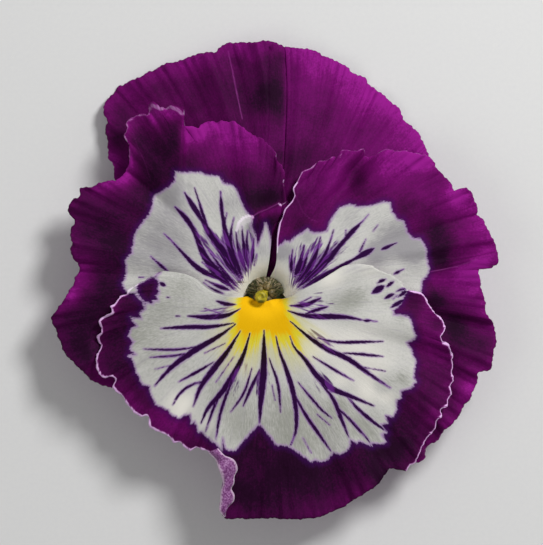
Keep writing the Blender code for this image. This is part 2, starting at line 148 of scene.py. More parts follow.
SIDE_RIGHT_RIM = [
    (302, 172), (304, 170), (311, 168), (315, 164), (319, 161), (327, 160), (335, 156), (340, 157),
    (342, 150), (350, 150), (356.5, 151), (364, 148), (365.6, 156), (377, 154), (382, 151), (388, 148.5),
    (396, 151), (407, 150.6), (415, 153), (423, 154), (427, 155), (434, 161), (438, 169), (446, 177),
    (452, 184), (454.4, 191), (460, 189), (467, 188), (472, 192), (475, 201), (478.7, 208), (477.5, 215),
    (483, 218), (487, 227), (492.5, 237), (497, 248), (498.6, 256), (498, 264), (493, 267.5), (485, 268.5),
    (479, 270), (480, 277), (482.6, 292), (486, 303.5), (486, 313), (492, 320), (496, 332), (497, 342),
    (495, 349), (493, 359), (490, 371), (484, 371), (479, 373), (478, 381.5), (474, 391), (470, 400),
    (464, 407), (459.5, 416), (453, 424), (448, 428), (443, 433), (439, 440), (431, 445), (427, 447.5),
    (425.5, 452), (426, 457), (422, 461.5), (412, 463), (402, 460)]
SIDE_RIGHT_INNER = [
    (269.5, 278.3), (275.5, 265), (276.7, 250), (277, 238), (278, 230), (279.5, 223), (282.4, 217.5),
    (284.5, 209.5), (288, 205.5), (292, 201), (294.5, 195.5), (293, 188.5), (297, 182), (302, 172)]
SIDE_RIGHT_OUTER = [(278.5, 286), (288, 300), (307, 314), (350, 380), (402, 460)]

LOWER_RIM = [
    (163, 271), (158, 272.6), (151, 276), (144, 281), (137, 284), (131, 288), (127, 291), (127, 294),
    (122, 295), (118, 299), (115, 304), (110, 306), (112.6, 312), (104.5, 316), (98.4, 321), (101, 327),
    (101, 332), (97, 336.5), (98.4, 342.6), (101, 346), (98, 352), (95.7, 360), (97, 369), (100, 375),
    (104, 378), (112, 376), (115, 379), (112.6, 386), (116, 392), (121, 395), (128, 406), (136, 414),
    (142, 417), (146.6, 415.5), (149, 420), (149, 427), (157, 431), (166.5, 435), (171, 439), (174, 443),
    (179.5, 442.6), (185, 448), (190, 451), (195.6, 448), (202.5, 449.5), (211, 453), (216, 459),
    (219, 467), (222.5, 477), (224, 484), (222, 490), (221, 502), (220, 509.5), (225, 518.6), (237, 519),
    (249, 519.4), (272, 518.6), (286, 519.4), (300, 519.4), (311, 518.6), (324, 516), (332, 512),
    (343, 508), (350, 503), (361, 496), (372, 489), (379.5, 483), (385.5, 474), (389, 469.5), (399, 470),
    (407.5, 470.5), (409.5, 466.5), (415, 463), (417.5, 459.5), (419, 456), (421, 450), (424.5, 443),
    (430, 435), (436, 428), (436.6, 421), (442, 416), (441, 410), (448, 405), (448, 400.6), (452, 393),
    (450, 387), (454, 381), (452, 373), (453.4, 366), (452.4, 360), (453, 356), (451, 350), (448, 344),
    (443.6, 342.5), (441, 336), (444, 332), (445, 328), (443, 320), (436, 314), (431, 307), (427.5, 302),
    (425.6, 297), (422, 293), (416, 292), (408, 290), (398, 279), (379, 270), (369, 265), (353, 264)]
LOWER_LIP = [(247, 296.5), (251, 298.5), (255, 300.5), (261, 302), (267, 301), (273, 299.8), (283, 299.5)]
ROLL_FOLD = [(209, 452), *stretch(LOWER_RIM, (216, 459), (220, 509.5)), (225, 517)]
ROLL_EDGE = [
    (218, 448.5), (224, 455), (234, 460.5), (237, 469), (234, 476), (233.5, 483), (231, 488), (234, 496),
    (233, 501), (229, 505), (225.5, 510)]
LOWER_LEFT = [
    (247, 296.5), (240, 297.3), (230, 297), (220, 294.5), (211, 291), (204, 286), (197, 279.5), (188, 275),
    (178, 272.5), (163, 271)]
LOWER_RIGHT = [
    (283, 299.5), (290, 297), (297, 292.7), (307, 287.5), (318, 281.5), (332, 273), (344, 266), (353, 264)]

# The white fields, the yellow, the white beside the lower petal's blot, and the folded parts.
SIDE_LEFT_WHITE = [
    (252, 219), (250, 215.5), (247, 212), (243.5, 207), (241, 201), (237, 191), (232, 186), (223, 184),
    (219, 177), (204, 175), (201, 173), (176, 172), (175, 181), (170, 186), (160.5, 193), (155, 194.5),
    (152, 204), (151, 212), (144, 222), (137, 230), (134.5, 237), (133, 247), (132, 253), (125, 260),
    (127, 271), (125, 279), (121.5, 283), (126, 290), (136, 305), (150, 330), (265, 300), (272, 262),
    (270.5, 238), (268, 229), (265.3, 223), (262, 236), (257, 246.5), (254.8, 235), (251, 226)]
SIDE_RIGHT_WHITE = [
    (277, 247), (281.5, 245), (285, 241), (290, 242), (297, 236), (304, 232), (308, 229), (311, 232.5),
    (320, 233), (327, 231), (330, 222), (335, 215), (340, 208), (350, 205), (358, 207), (369.5, 206.5),
    (384, 202), (390, 203), (391.5, 212), (397, 219), (403, 220), (407, 232), (412, 238), (421, 239),
    (426, 249), (427, 258), (429.7, 268.5), (427.5, 275), (422, 280), (421.4, 289), (420, 310), (300, 330),
    (262, 310), (270, 262)]
LOWER_WHITE = [
    (161, 262), (161, 273), (154, 277), (157.5, 279), (160, 284), (158.5, 289), (160.5, 293), (156, 296),
    (159, 301), (153, 300.5), (153, 304), (147, 302.5), (146, 306), (143, 304), (146, 309), (140, 313),
    (142, 319), (130, 317), (138, 326.6), (132, 328), (129, 336.5), (134, 342), (130, 349), (136, 354),
    (129, 356), (134, 362.5), (137, 373), (142, 384.5), (150, 386), (151, 393), (155, 404), (161, 407),
    (169, 410.5), (172, 416), (179, 418), (184, 415), (190, 413), (191, 423.5), (194.5, 421.5),
    (199, 432.5), (202, 431), (207, 436), (216, 443), (222, 451), (223, 438), (225, 448), (229, 450),
    (235, 450), (240, 445), (245, 439), (252, 431), (259.6, 423), (266, 431), (272, 439), (276, 445),
    (282, 445.6), (289, 446.5), (295, 450), (300, 453), (305, 457), (311, 462), (314.4, 459), (320, 462),
    (326, 460), (330.5, 455), (333, 452), (341, 454), (347, 450.5), (350, 445), (350, 439), (357, 443),
    (359, 441), (372, 446), (370, 443), (378, 443.6), (385.6, 442), (381, 434), (387, 433), (380.5, 424.5),
    (388, 423), (385.5, 416), (393, 417.5), (397, 410), (396, 400), (400, 398), (400.6, 391), (413, 387.6),
    (413, 384), (416, 382), (413, 378), (414.4, 370), (416, 362), (411, 349), (406.5, 342.5), (416, 338),
    (413, 330), (411, 321), (408, 316.5), (393, 315), (392.5, 311.5), (400, 305), (402, 300), (404, 295),
    (407, 291), (415, 287.5), (395, 268), (352, 250)]
YELLOW = [
    (236, 298), (241, 289), (256, 288), (268, 288), (281, 290), (287, 298), (289, 308), (292, 316),
    (298, 323), (303, 333), (301, 343), (295, 349), (286, 343), (279, 347), (269, 345), (262, 341),
    (254, 346), (246, 353), (236, 351), (231, 342), (229, 330), (233, 316), (235, 306)]
LOWER_GAP = [
    (124, 292), (128, 288), (137, 282), (150, 274), (160, 270), (156, 276), (146, 279.5), (139, 283),
    (136, 287), (137.5, 292), (139, 296), (143.5, 301), (148, 305), (142, 301.5), (137, 297), (133.5, 293),
    (129, 292.5)]
FLAP = [
    (129, 122), (136, 117), (152, 110), (171, 105), (184, 108), (182.5, 125), (181, 145), (178, 172),
    (160, 196), (150, 203), (141, 190), (134, 168), (131, 145)]
BELOW_FOLD = [
    (428, 273), (442, 270), (458, 266.5), (470, 262), (479, 259.5), (483, 280), (476, 297), (455, 300),
    (438, 296)]
# The part of a side petal where a fold's light is painted, and by how much: painted shade on the left
# petal's flap, painted light below the right petal's fold.
FOLD_SHADE_AND_LIGHT = {"lateral_petal_left": (FLAP, -0.07), "lateral_petal_right": (BELOW_FOLD, 0.12)}
# Where the whiskers of a petal run together.
FANS = {"lateral_petal_left": (249, 297), "lateral_petal_right": (289, 297), "lower_petal": (265, 296)}
# Where violet lies between the veins.
SIDE_LEFT_HAZE = [
    [(201, 246), (199, 234), (206, 226), (214, 233), (222, 235), (232, 230), (240, 228), (250, 231),
     (256, 240), (255, 258), (249, 271), (242, 280), (236, 290), (222, 284), (208, 268)]]
SIDE_RIGHT_HAZE = [
    [(290, 284), (291, 262), (300, 247), (318, 242), (326, 246), (340, 240), (346, 246), (338, 258),
     (322, 272), (300, 289)]]
LOWER_HAZE = [
    [(263, 366), (265, 388), (256, 392), (253, 382)],
    [(314, 371), (332, 384), (330, 392), (321, 386)],
    [(246, 366), (243, 382), (233, 394), (234, 382)],
    [(296, 305), (319, 296), (320, 300), (306, 304)],
    [(312, 333), (330, 339), (331, 347), (318, 341)],
    [(300, 310), (332, 306), (332, 314), (312, 314)],
    [(236, 310), (214, 309), (204, 312), (214, 314)]]

# The veins: width and points.
SIDE_LEFT_VEINS = [
    (4.6, [(164, 233.7), (173.5, 243), (184, 254.4), (198, 268), (213, 276), (224, 280)]),
    (6.8, [(175, 206.8), (183, 216), (191, 225.6), (198.2, 241.8), (207, 260), (220, 274), (233, 289)]),
    (1.6, [(184, 213), (192, 224), (200, 238)]),
    (7, [(184, 192.4), (193, 206), (202, 220), (210, 233.5), (220, 247.5), (231, 263.5), (239.5, 278)]),
    (2.8, [(194.6, 188), (199, 202), (203.6, 217), (208, 227)]),
    (6.2, [(220.6, 191.5), (221.5, 206), (223.5, 222), (227, 238), (234, 258), (242, 277.5)]),
    (2.4, [(227, 213), (224.5, 224), (225.5, 232)]),
    (3.2, [(234, 217.6), (231.5, 229), (230.5, 242), (234, 254)]),
    (3.8, [(236, 232), (238, 247), (243, 263), (246.5, 271)]),
    (4.2, [(242, 226.5), (243, 238), (245, 252.5), (248.5, 267.5)]),
    (2.2, [(247.6, 231), (246.7, 242), (248.5, 254)]),
    (3.2, [(254, 238), (253, 249), (252, 263)]),
    (1.8, [(256.5, 254), (254, 265)]),
    (2.5, [(150.6, 256.5), (160.5, 265), (168, 271)]),
    (2, [(139, 277.5), (144, 277.5)]),
    (3.8, [(205.5, 280), (217, 285.5), (229, 290)]),
    (1.8, [(203.6, 282.7), (213, 289), (223.6, 293.6)]),
    (3.6, [(208, 250), (217, 262), (228, 277), (236, 286)]),
    (2.6, [(202, 262), (214, 274), (228, 286)]),
    (3, [(215, 246), (225, 261), (235, 275)]),
    (2.4, [(222, 248), (230, 262), (238, 273)]),
    (4.8, [(205, 256), (198.5, 241.8), (191, 225.6), (184, 216), (175.5, 207)]),
    (4.8, [(213, 239), (207, 229), (200, 217), (193, 206), (185, 194)]),
    (3.4, [(226, 234), (223, 220), (221.5, 206), (220.7, 195)])]
SIDE_RIGHT_VEINS = [
    (3.2, [(292.6, 249.5), (291.4, 260), (291.5, 273)]),
    (5.4, [(304, 245.4), (300.8, 260), (295, 277)]),
    (3.8, [(309, 249.5), (305, 262), (299, 275)]),
    (6.2, [(320.3, 237), (316.2, 253.6), (309, 268), (296, 283)]),
    (3.4, [(333.6, 230), (329.5, 243), (323.3, 257.7), (313, 270)]),
    (1.6, [(368.5, 214.6), (364, 220)]),
    (6.8, [(363.3, 220.8), (346, 238), (331.5, 255.6), (317, 270), (298, 287)]),
    (2.4, [(346, 230), (345, 240), (340, 247)]),
    (5.2, [(373, 249), (358, 256.7), (346, 263.8), (331.5, 272), (315, 280.3), (302.5, 288)]),
    (3.2, [(334, 258), (322, 268), (306, 282)]),
    (3, [(396.5, 243), (389, 246.5), (381.5, 249.7)]),
    (1.6, [(366, 239), (363, 245), (359, 253.6)]),
    (1.4, [(373, 231), (378, 225)]),
    (2.2, [(404, 269), (399, 271.5), (394, 274)]),
    (5.4, [(348, 263), (359, 256.5), (367, 252.5), (374, 248.5)]),
    (4.6, [(331, 255), (343, 242), (352, 232), (361, 223)])]
LOWER_VEINS = [
    (6.5, [(264, 330), (264, 345), (264, 362), (263, 380), (261, 400), (259.5, 423)]),
    (3, [(260, 369), (252, 386), (243, 406)]),
    (4.5, [(276, 336), (279, 350), (285, 366), (292, 388), (296, 410), (295, 434), (290, 446)]),
    (3.5, [(293, 392), (305, 414), (321, 437), (331, 451)]),
    (2.2, [(269, 358), (278, 384), (280.5, 412)]),
    (1.5, [(272, 385), (275, 400)]),
    (1.5, [(303, 438), (311, 453)]),
    (5, [(290, 336), (292.5, 344), (305.5, 360), (318, 377), (331, 388), (350, 396), (374, 406)]),
    (3, [(345, 394), (357, 408), (372, 421), (387, 432)]),
    (3.5, [(318, 380), (333, 399), (341, 418), (349, 438)]),
    (2.5, [(337, 407), (349, 419), (360, 431), (370, 442)]),
    (2, [(313, 356.5), (333, 369), (353.6, 380.5)]),
    (2, [(298, 382), (313, 400), (323, 411), (332, 418)]),
    (1.5, [(317, 414), (330, 425)]),
    (4.5, [(290, 321), (305, 334), (323, 347), (350, 360), (368, 373), (390.5, 388)]),
    (2.5, [(318, 338), (336, 342), (359, 342), (383, 341.4)]),
    (2.2, [(343.6, 353), (359, 354), (383, 356.7)]),
    (1.8, [(362, 367), (385, 371)]),
    (5, [(288, 311), (301.5, 315), (317, 316.5), (336, 316.5), (350, 317.5), (362, 320)]),
    (2.4, [(363, 320), (368, 320.5), (371, 320.5)]),
    (2, [(372, 321), (377, 321.5)]),
    (3, [(305, 314), (316, 310), (328, 306.6)]),
    (4, [(290, 306), (305, 305), (320.6, 298)]),
    (2.5, [(300, 303), (311, 297.4)]),
    (3.5, [(236, 304.7), (226, 304), (216.5, 301)]),
    (5, [(240, 309), (228, 315), (210, 317), (188, 316)]),
    (2.5, [(222, 314), (204.6, 308.4)]),
    (2, [(180, 316), (176, 316)]),
    (4, [(234, 323), (212, 326.6), (190, 327), (161, 328.5)]),
    (5.5, [(236, 324), (216, 338), (197, 349), (178, 362), (161, 378.6), (155, 386)]),
    (2, [(205, 345), (182, 349), (143.6, 349)]),
    (2, [(193, 352), (174, 355.6), (150, 357)]),
    (2, [(176, 364), (155, 369)]),
    (1.8, [(225, 343.5), (204.6, 353)]),
    (2.5, [(214, 362), (195, 373), (178.7, 382)]),
    (5.5, [(240.6, 330.6), (225, 354.6), (212, 371), (200, 388), (193, 406)]),
    (2.5, [(206, 380), (188, 387), (178, 396), (173, 405)]),
    (1.5, [(234, 356.5), (216, 382)]),
    (5.5, [(250, 333), (243.4, 355), (232, 377), (221, 393.5), (208, 408), (201, 423)]),
    (2.5, [(228, 380), (214, 408), (206, 432)]),
    (2.5, [(236, 372), (221, 412), (216, 440)]),
    (2, [(252, 368), (243.4, 393.5), (230.5, 412)]),
    (6.2, [(372, 293), (378, 289.5), (384, 286)]),
    (2.4, [(377, 283), (382, 280.5), (386, 279)]),
    (2.8, [(386.5, 287), (390, 284), (393.5, 281.5)]),
    (3.2, [(384.5, 298.5), (389, 296), (394, 294)]),
    (2.4, [(393, 299), (397, 295.5)]),
    (3, [(398, 297), (402, 294), (407, 290.5)]),
    (2, [(396, 291.5), (401, 289.5), (406, 288.5)]),
    (4, [(390.5, 308), (396, 304.5), (404, 299.5)]),
    (3.5, [(159.5, 282.5), (163, 284.5), (165.5, 286)]),
    (2, [(167, 297.5), (169.5, 297.5)])]

# Pale lines along rims and creases: width, strength and points. On the rims they are partly the petal's own
# pale margin and partly a painted highlight; on the creases and the crests of folds they are a painted
# highlight.
UPPER_RIGHT_PALE = [(0.8, 0.3, [(285, 45), (315, 49), (347, 65), (384, 93), (402, 110), (428, 150)])]
UPPER_LEFT_PALE = [
    (1.6, 0.4, [(228, 50), (232, 69), (237, 95), (242, 118)]),
    (2.6, 0.25, [(232, 69), (236, 90), (238, 98)]),
    (0.8, 0.25, [
        (103, 113), (102, 107), (117, 85), (138, 76), (178, 59.5), (219, 46), (267, 39), (299, 52)])]
SIDE_LEFT_PALE = [
    (2.8, 0.5, [(129, 160), (129, 150), (124, 135), (127, 128), (126, 122), (136, 115), (149, 114)]),
    (4.4, 0.5, [(149, 110), (153, 105), (161, 109), (171, 107), (178, 110), (182, 114)]),
    (0.8, 0.45, [(190, 126), (205, 121.5), (234, 121), (263, 139), (275, 151), (285, 173)]),
    # painted highlights along the crest of the curled inner edge
    (1.4, 0.5, [(252.7, 217.3), (258, 213.6), (267, 210), (279, 204)]),
    (2.0, 0.8, [(279, 204.2), (282, 205.8), (284.8, 208.6)]),
    (3.0, 0.75, [(237, 230), (239, 223), (243.5, 218), (249, 216), (253, 217.5)]),
    (5.0, 0.35, [(241, 228), (245, 222), (251, 219.5)]),
    (1.0, 0.25, [(132, 132), (139, 150), (145, 162), (151, 180)]),
    (0.8, 0.3, [(116, 180), (98, 183.5), (80, 188), (68, 206), (71, 228), (72, 243)])]
SIDE_RIGHT_PALE = [
    (1.4, 0.5, [(275.6, 276), (276, 262), (276.5, 250)]),
    (2.6, 1.0, [(276.5, 252), (277, 238), (279.5, 223), (284.5, 209.5)]),
    (1.8, 0.9, stretch(SIDE_RIGHT_INNER, (284.5, 209.5), (297, 182))),
    (1.2, 0.6, [(297, 182), (302, 172), (311, 168), (319, 161)]),
    (1.1, 0.55, [
        (319, 161), (327, 160), (335, 156), (340, 157), (342, 150), (350, 150), (356, 151), (364, 148),
        (366, 156), (377, 154), (388, 148.5), (396, 151), (407, 150.6), (427, 155), (434, 161)]),
    # painted highlights along a crease and along the crest of the fold
    (1.0, 0.35, [(295.5, 196), (303, 212), (310, 219), (318, 222)]),
    (1.4, 0.4, [(431, 271.5), (442, 269.5), (458, 266), (470, 261.5), (477, 259)]),
    (0.8, 0.3, [(478, 265), (481, 280), (484, 300), (490, 320)]),
    (1.6, 0.45, stretch(SIDE_RIGHT_RIM, (448, 428), (422, 461.5)))]
LOWER_PALE = [
    (3.3, 1.0, stretch(LOWER_RIM, (137, 284), (211, 453))),
    (2.4, 1.0, stretch(LOWER_RIM, (407.5, 470.5), (408, 290)))]

# How light each petal is, and its lighter and darker places, partly its own colour and partly painted light
# and shade, such as the painted shadow on the right side petal beside the lower petal's rim: centre, radius
# and amount.
UPPER_RIGHT_TONE_AND_SHADING = 0.72, [
    (350, 85, 40, 0.2), (405, 130, 25, 0.14), (300, 110, 28, -0.12), (295, 165, 30, -0.33),
    (330, 150, 25, -0.12), (309, 70, 10, 0.12), (328, 108, 21, -0.18), (298, 78, 12, -0.1),
    (362, 127, 13, -0.12), (367, 97, 12, 0.1), (400, 128, 12, -0.13), (422, 149, 8, 0.16)]
UPPER_LEFT_TONE_AND_SHADING = 0.6, [
    (262, 85, 24, -0.22), (270, 108, 20, -0.2), (281, 113, 7, -0.12), (282, 75, 12, -0.12),
    (284, 185, 14, -0.3), (195, 50, 16, 0.1), (240, 46, 10, 0.12), (254, 57, 8, 0.06), (266, 60, 12, -0.14),
    (239, 60, 8, -0.14), (239, 86, 9, -0.08), (281, 56, 8, -0.17), (280, 156, 8, -0.28),
    (205, 93, 42, -0.14), (182, 62, 16, 0.12), (240, 103, 16, -0.14), (272, 92, 14, -0.2),
    (155, 85, 12, -0.12), (252, 57, 6, 0.1), (113, 138, 11, -0.36), (120, 115, 16, -0.2),
    (112, 159, 10, 0.34),
    # painted light in a strip along its neighbour's edge, where that edge casts its shadow
    *((286, y, 2.8, 0.16) for y in range(50, 176, 4))]
SIDE_LEFT_TONE_AND_SHADING = 0.34, [
    (215, 130, 26, 0.42), (245, 140, 20, 0.36), (265, 165, 18, 0.2), (215, 158, 20, 0.12),
    (211, 141, 10, -0.12), (232, 126, 9, 0.12), (262, 190, 16, -0.1), (193, 133, 13, 0.48),
    (235, 148, 22, 0.1), (155, 116, 16, 0.5), (178, 116, 9, 0.12), (176, 124, 5, -0.16),
    (176, 133, 5, -0.16), (175, 142, 5, -0.16), (174, 151, 5, -0.08), (186, 126, 5, 0.22),
    (186, 134, 5, 0.22), (185, 142, 5, 0.2), (184, 150, 5, 0.14), (130, 128, 8, 0.3), (174, 113, 9, 0.35),
    (121, 156, 12, 1.04), (128, 177, 11, 0.4), (158, 150, 14, -0.04), (152, 175, 10, -0.08),
    (140, 172, 9, 0.1), (95, 190, 12, 0.25), (112, 184, 13, 0.36), (88, 212, 9, 0.1), (86, 196, 8, -0.1),
    (115, 245, 20, -0.14), (112, 280, 16, -0.14), (98, 308, 16, -0.13), (78, 332, 16, -0.1),
    (82, 262, 12, 0.18), (83, 282, 15, 0.26), (71, 297, 9, 0.45), (62, 308, 8, 0.15), (75, 350, 22, -0.12),
    (106, 374, 15, 0.36), (98, 366, 8, 0.12), (84, 363, 9, -0.14), (263, 214, 4.5, 0.3),
    (272, 211, 4.5, 0.32), (280, 209, 5, 0.38), (258, 200, 9, -0.16), (272, 197, 8, -0.22),
    (258, 229, 5, -0.2), (268, 223, 6, -0.25), (262, 201, 6, -0.1)]
SIDE_RIGHT_TONE_AND_SHADING = 0.6, [
    (335, 185, 16, 0.12), (338, 165, 10, 0.16), (316, 184, 12, -0.1), (362, 191, 12, -0.14),
    (302, 225, 12, -0.12), (390, 168, 20, 0.3), (418, 158, 14, 0.5), (356, 178, 11, -0.2),
    (325, 180, 18, 0.08), (300, 225, 12, -0.2), (436, 232, 15, -0.34), (438, 254, 15, -0.4),
    (405, 210, 11, -0.16), (478, 225, 14, 0.16), (485, 250, 12, 0.22), (457, 198, 12, 0.42),
    (446, 212, 10, 0.1), (464, 213, 8, 0.06), (464, 240, 9, 0.1), (436, 300, 12, -0.44),
    (453, 325, 15, -0.45), (485, 349, 14, -0.36), (461, 338, 11, -0.06), (479, 268, 9, 0.5),
    (462, 274, 13, 0.26), (442, 280, 8, 0.04), (435, 267, 7, -0.14), (446, 262, 7, -0.16),
    (457, 257, 6, -0.06), (468, 303, 15, 0.04), (470, 336, 14, -0.12), (452, 345, 16, -0.12),
    (472, 385, 9, 0.25), (462, 392, 9, 0.14), (440, 390, 24, -0.25), (438, 436, 9, -0.3),
    (453, 411, 7, -0.2), (424, 454, 8, -0.34), (425, 190, 10, 0.1), (300, 200, 8, -0.1)]
LOWER_TONE_AND_SHADING = 0.27, [
    (290, 465, 50, -0.1), (392, 452, 22, -0.16), (350, 490, 22, 0.12), (310, 512, 18, 0.16),
    (426, 313, 14, 0.3), (437, 325, 7, -0.14), (309, 463, 9, -0.12), (430, 345, 20, 0.42),
    (428, 385, 26, 0.16), (410, 415, 14, 0.03), (435, 416, 9, 0.28), (437, 437, 8, -0.26),
    (449, 407, 9, -0.08), (383, 478, 12, -0.26), (162, 418, 17, 0.4), (182, 428, 12, 0.3),
    (198, 436, 8, 0.15), (130, 400, 14, 0.22), (112, 310, 10, 0.12), (400, 305, 9, 0.25),
    (240, 490, 14, -0.08)]

# Greyer places in the white, and with amounts below 0 brighter ones, partly painted shade and painted light
# and partly the white's own tint: centre, radius and amount.
LOWER_SHADES = [
    (225, 395, 32, 0.6), (240, 430, 22, 0.55), (285, 420, 24, 0.58), (325, 430, 28, 0.5),
    (175, 375, 24, 0.2), (265, 350, 22, 0.1), (150, 338, 26, 0.55), (165, 300, 22, 0.5),
    (185, 285, 14, 0.35), (205, 315, 20, 0.45), (228, 300, 10, 0.5), (342, 303, 18, 0.85),
    (358, 297, 12, 0.45), (332, 280, 16, -0.75), (370, 270, 13, -0.3), (345, 345, 34, -0.5),
    (375, 372, 22, -0.35), (309, 341, 16, -0.8), (388, 396, 9, -0.5), (340, 380, 9, -0.4),
    (308, 444, 8, 0.3), (276, 396, 9, 0.25), (365, 395, 14, -0.5), (180, 405, 16, -0.9),
    (210, 423, 11, -0.8), (196, 395, 14, -0.25), (340, 405, 12, 0.75), (300, 400, 24, 0.3),
    (290, 445, 20, 0.5), (361, 424, 15, 0.8), (402, 378, 10, 0.75), (384, 384, 9, 0.7), (374, 440, 12, 0.6),
    (131, 338, 13, 0.5), (132, 284, 8, 0.7), (402, 316, 8, 0.5), (388, 300, 8, 0.4), (244, 365, 12, -0.3),
    (320, 458, 9, 0.4)]
SIDE_LEFT_SHADES = [
    (165, 215, 30, 0.55), (172, 204, 12, 0.25), (250, 228, 5, 0.9), (148, 248, 28, 0.5),
    (177, 188, 15, 0.6), (190, 235, 20, 0.2), (262, 250, 9, 0.6), (172, 265, 26, 0.55), (234, 202, 16, 0.6),
    (262, 270, 10, -0.6), (244, 284, 11, -0.9), (132, 256, 10, 0.4)]
SIDE_RIGHT_SHADES = [
    (400, 243, 24, 1.25), (418, 254, 12, 0.6), (374, 254, 12, 0.9), (350, 218, 16, 0.4),
    (286, 252, 11, 0.95), (394, 267, 12, -0.5), (364, 236, 10, -0.35), (308, 236, 10, 0.7),
    (280, 272, 9, -0.7), (294, 284, 10, -0.9), (276, 252, 8, 0.8)]

# The lines of the pleats and hollows, from where they start to where they are deepest.
LEFT_PLEAT = (175, 205), (179, 140)
LEFT_CURL = (228, 232), (268, 213)
LEFT_HOLLOW = (200, 200), (216, 140)
RIGHT_FOLD = (425, 272), (478, 260)
RIGHT_HOLLOW = (330, 230), (355, 165)
LOWER_STEP = (235, 400), (221, 485)
# The pleats that hang over: their line, the side that they hang to, how far the crest and the
# foot move, and how wide they are.
OVERHANGS = {
    "lateral_petal_left": [
        (LEFT_PLEAT, 1, 0.7 * MM, 0.5 * MM, 0.8 * MM), (LEFT_CURL, -1, 0.5 * MM, 0.4 * MM, 0.6 * MM)],
    "lateral_petal_right": [(RIGHT_FOLD, -1, 0.7 * MM, 0.5 * MM, 0.8 * MM)]}
# The places where the waves are held down, and how far round them.
LEFT_CALM = (200, 150)
LOWER_CALM = (388, 276)
CALM_RADIUS = 6 * MM
# How far the right upper petal's edge is laid down, at these heights of the picture.
LAID_COLUMNS = 28
LAID_AT = (50, 70, 85, 100, 115, 130)
LAID_BY = (0.92, 0.84, 0.78, 0.62, 0.6, 0.44)

# Where the cream by the throat, lightened with painted light, ends and how softly, and where the yellow
# thins out.
NEAR_END, NEAR_FADE = 14, 26
YELLOW_THINS_AT, YELLOW_THINS_OVER, YELLOW_THINS_BY = 312, 26, 0.6

# Colours of the finishes that no setting changes.
DARKEST_PURPLE = (0.013, 0.0005, 0.011)
LIGHTEST_PURPLE = (0.30, 0.010, 0.25)
PLUM_RIM = (0.30, 0.03, 0.26)
PALE_RIM_ON_WHITE = (0.84, 0.76, 0.84)
VEIN_DARK = (0.012, 0.001, 0.018)
VEIN_LIGHT = (0.036, 0.0018, 0.068)
VEIN_ON_YELLOW = (0.012, 0.003, 0.004)
VEIN_EDGE = (0.31, 0.17, 0.40)
VEIN_GLINT = (0.13, 0.02, 0.22)
VIOLET_DARK = (0.06, 0.004, 0.11)
VIOLET_LIGHT = (0.17, 0.035, 0.29)
WHITE_GRAIN = (0.50, 0.51, 0.47)
WHITE_STREAK = (0.40, 0.37, 0.42)
# cream by the throat, lightened with painted light where the funnel is in shade
WHITE_AND_LIGHT_AT_THROAT = (0.95, 0.92, 0.76)
# The brightest white, for painted light, and the deepest painted shade on it, which also gives the shaded
# white its tint: greenish on the lower petal and lilac on the side petals.
LOWER_WHITES = (0.82, 0.79, 0.72), (0.27, 0.275, 0.235)
SIDE_WHITES = (0.80, 0.78, 0.76), (0.27, 0.255, 0.28)
PURPLE_BY_WHITE = (0.05, 0.003, 0.10)
LILAC_BY_WHITE = (0.40, 0.27, 0.46)
OLIVE = (0.64, 0.60, 0.20)
LEMON = (0.74, 0.62, 0.03)
GOLD_AT_THROAT = (0.98, 0.55, 0.004)
BACK_VEIN = (0.72, 0.50, 0.74)
ROLL_COLOURS = (0.13, 0.025, 0.13), (0.25, 0.075, 0.25), (0.43, 0.21, 0.44)
ROLL_RIM = (0.80, 0.58, 0.78)
BEARD_COLOURS = (0.035, 0.045, 0.012), (0.12, 0.11, 0.04), (0.32, 0.24, 0.15), (0.42, 0.36, 0.24)
SPUR_COLOURS = (0.20, 0.07, 0.20), (0.40, 0.24, 0.38), (0.55, 0.48, 0.42)
PISTIL_COLOURS = (0.24, 0.20, 0.006), (0.46, 0.37, 0.008), (0.60, 0.50, 0.02)
ANTHER_COLOURS = (0.05, 0.045, 0.012), (0.17, 0.12, 0.04), (0.36, 0.27, 0.13)
HOLLOW_SHADE = (0.04, 0.045, 0.004)
SEPAL_COLOURS = (0.045, 0.11, 0.018), (0.10, 0.20, 0.035), (0.20, 0.33, 0.08)
SEPAL_MARGIN = (0.42, 0.50, 0.25)
STALK_COLOURS = (0.06, 0.13, 0.02), (0.14, 0.26, 0.05), (0.26, 0.40, 0.11)
PAPER_COLOURS = (0.74, 0.74, 0.74), (0.78, 0.78, 0.77)


def throat():
    """The throat's axis in the row frame, from the stalk, which runs under it along -Y."""
    low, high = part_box("stem")
    return np.array([(low[0] + high[0]) / 2, low[1] + STALK_END])


def face_plane(pixels):
    """Places in the picture as places on the face, from the throat's axis."""
    points = np.array(pixels, float) - PICTURE_THROAT
    return points * (PIXEL, -PIXEL)


def in_pixels(x, y):
    """Places on the face as places in the picture."""
    return x / PIXEL + PICTURE_THROAT[0], PICTURE_THROAT[1] - y / PIXEL


def smooth_line(points, count):
    """The smooth curve through the points, as count points evenly along it."""
    points = np.array(points, float)
    gaps = np.linalg.norm(np.diff(points, axis=0), axis=1)
    along = np.concatenate([[0.0], np.cumsum(gaps)])
    slope = np.gradient(points, along, axis=0)
    at = along[-1] * np.linspace(0.0, 1.0, count)
    i = np.clip(np.searchsorted(along, at, side="right") - 1, 0, len(gaps) - 1)
    gap = gaps[i][:, None]
    t = (at - along[i])[:, None] / gap
    start = (2 * t**3 - 3 * t**2 + 1) * points[i] + (t**3 - 2 * t**2 + t) * gap * slope[i]
    end = (3 * t**2 - 2 * t**3) * points[i + 1] + (t**3 - t**2) * gap * slope[i + 1]
    return start + end


def ease(t):
    """0 below 0, 1 above 1 and a smooth step between."""
    t = np.clip(t, 0.0, 1.0)
    return t * t * (3 - 2 * t)


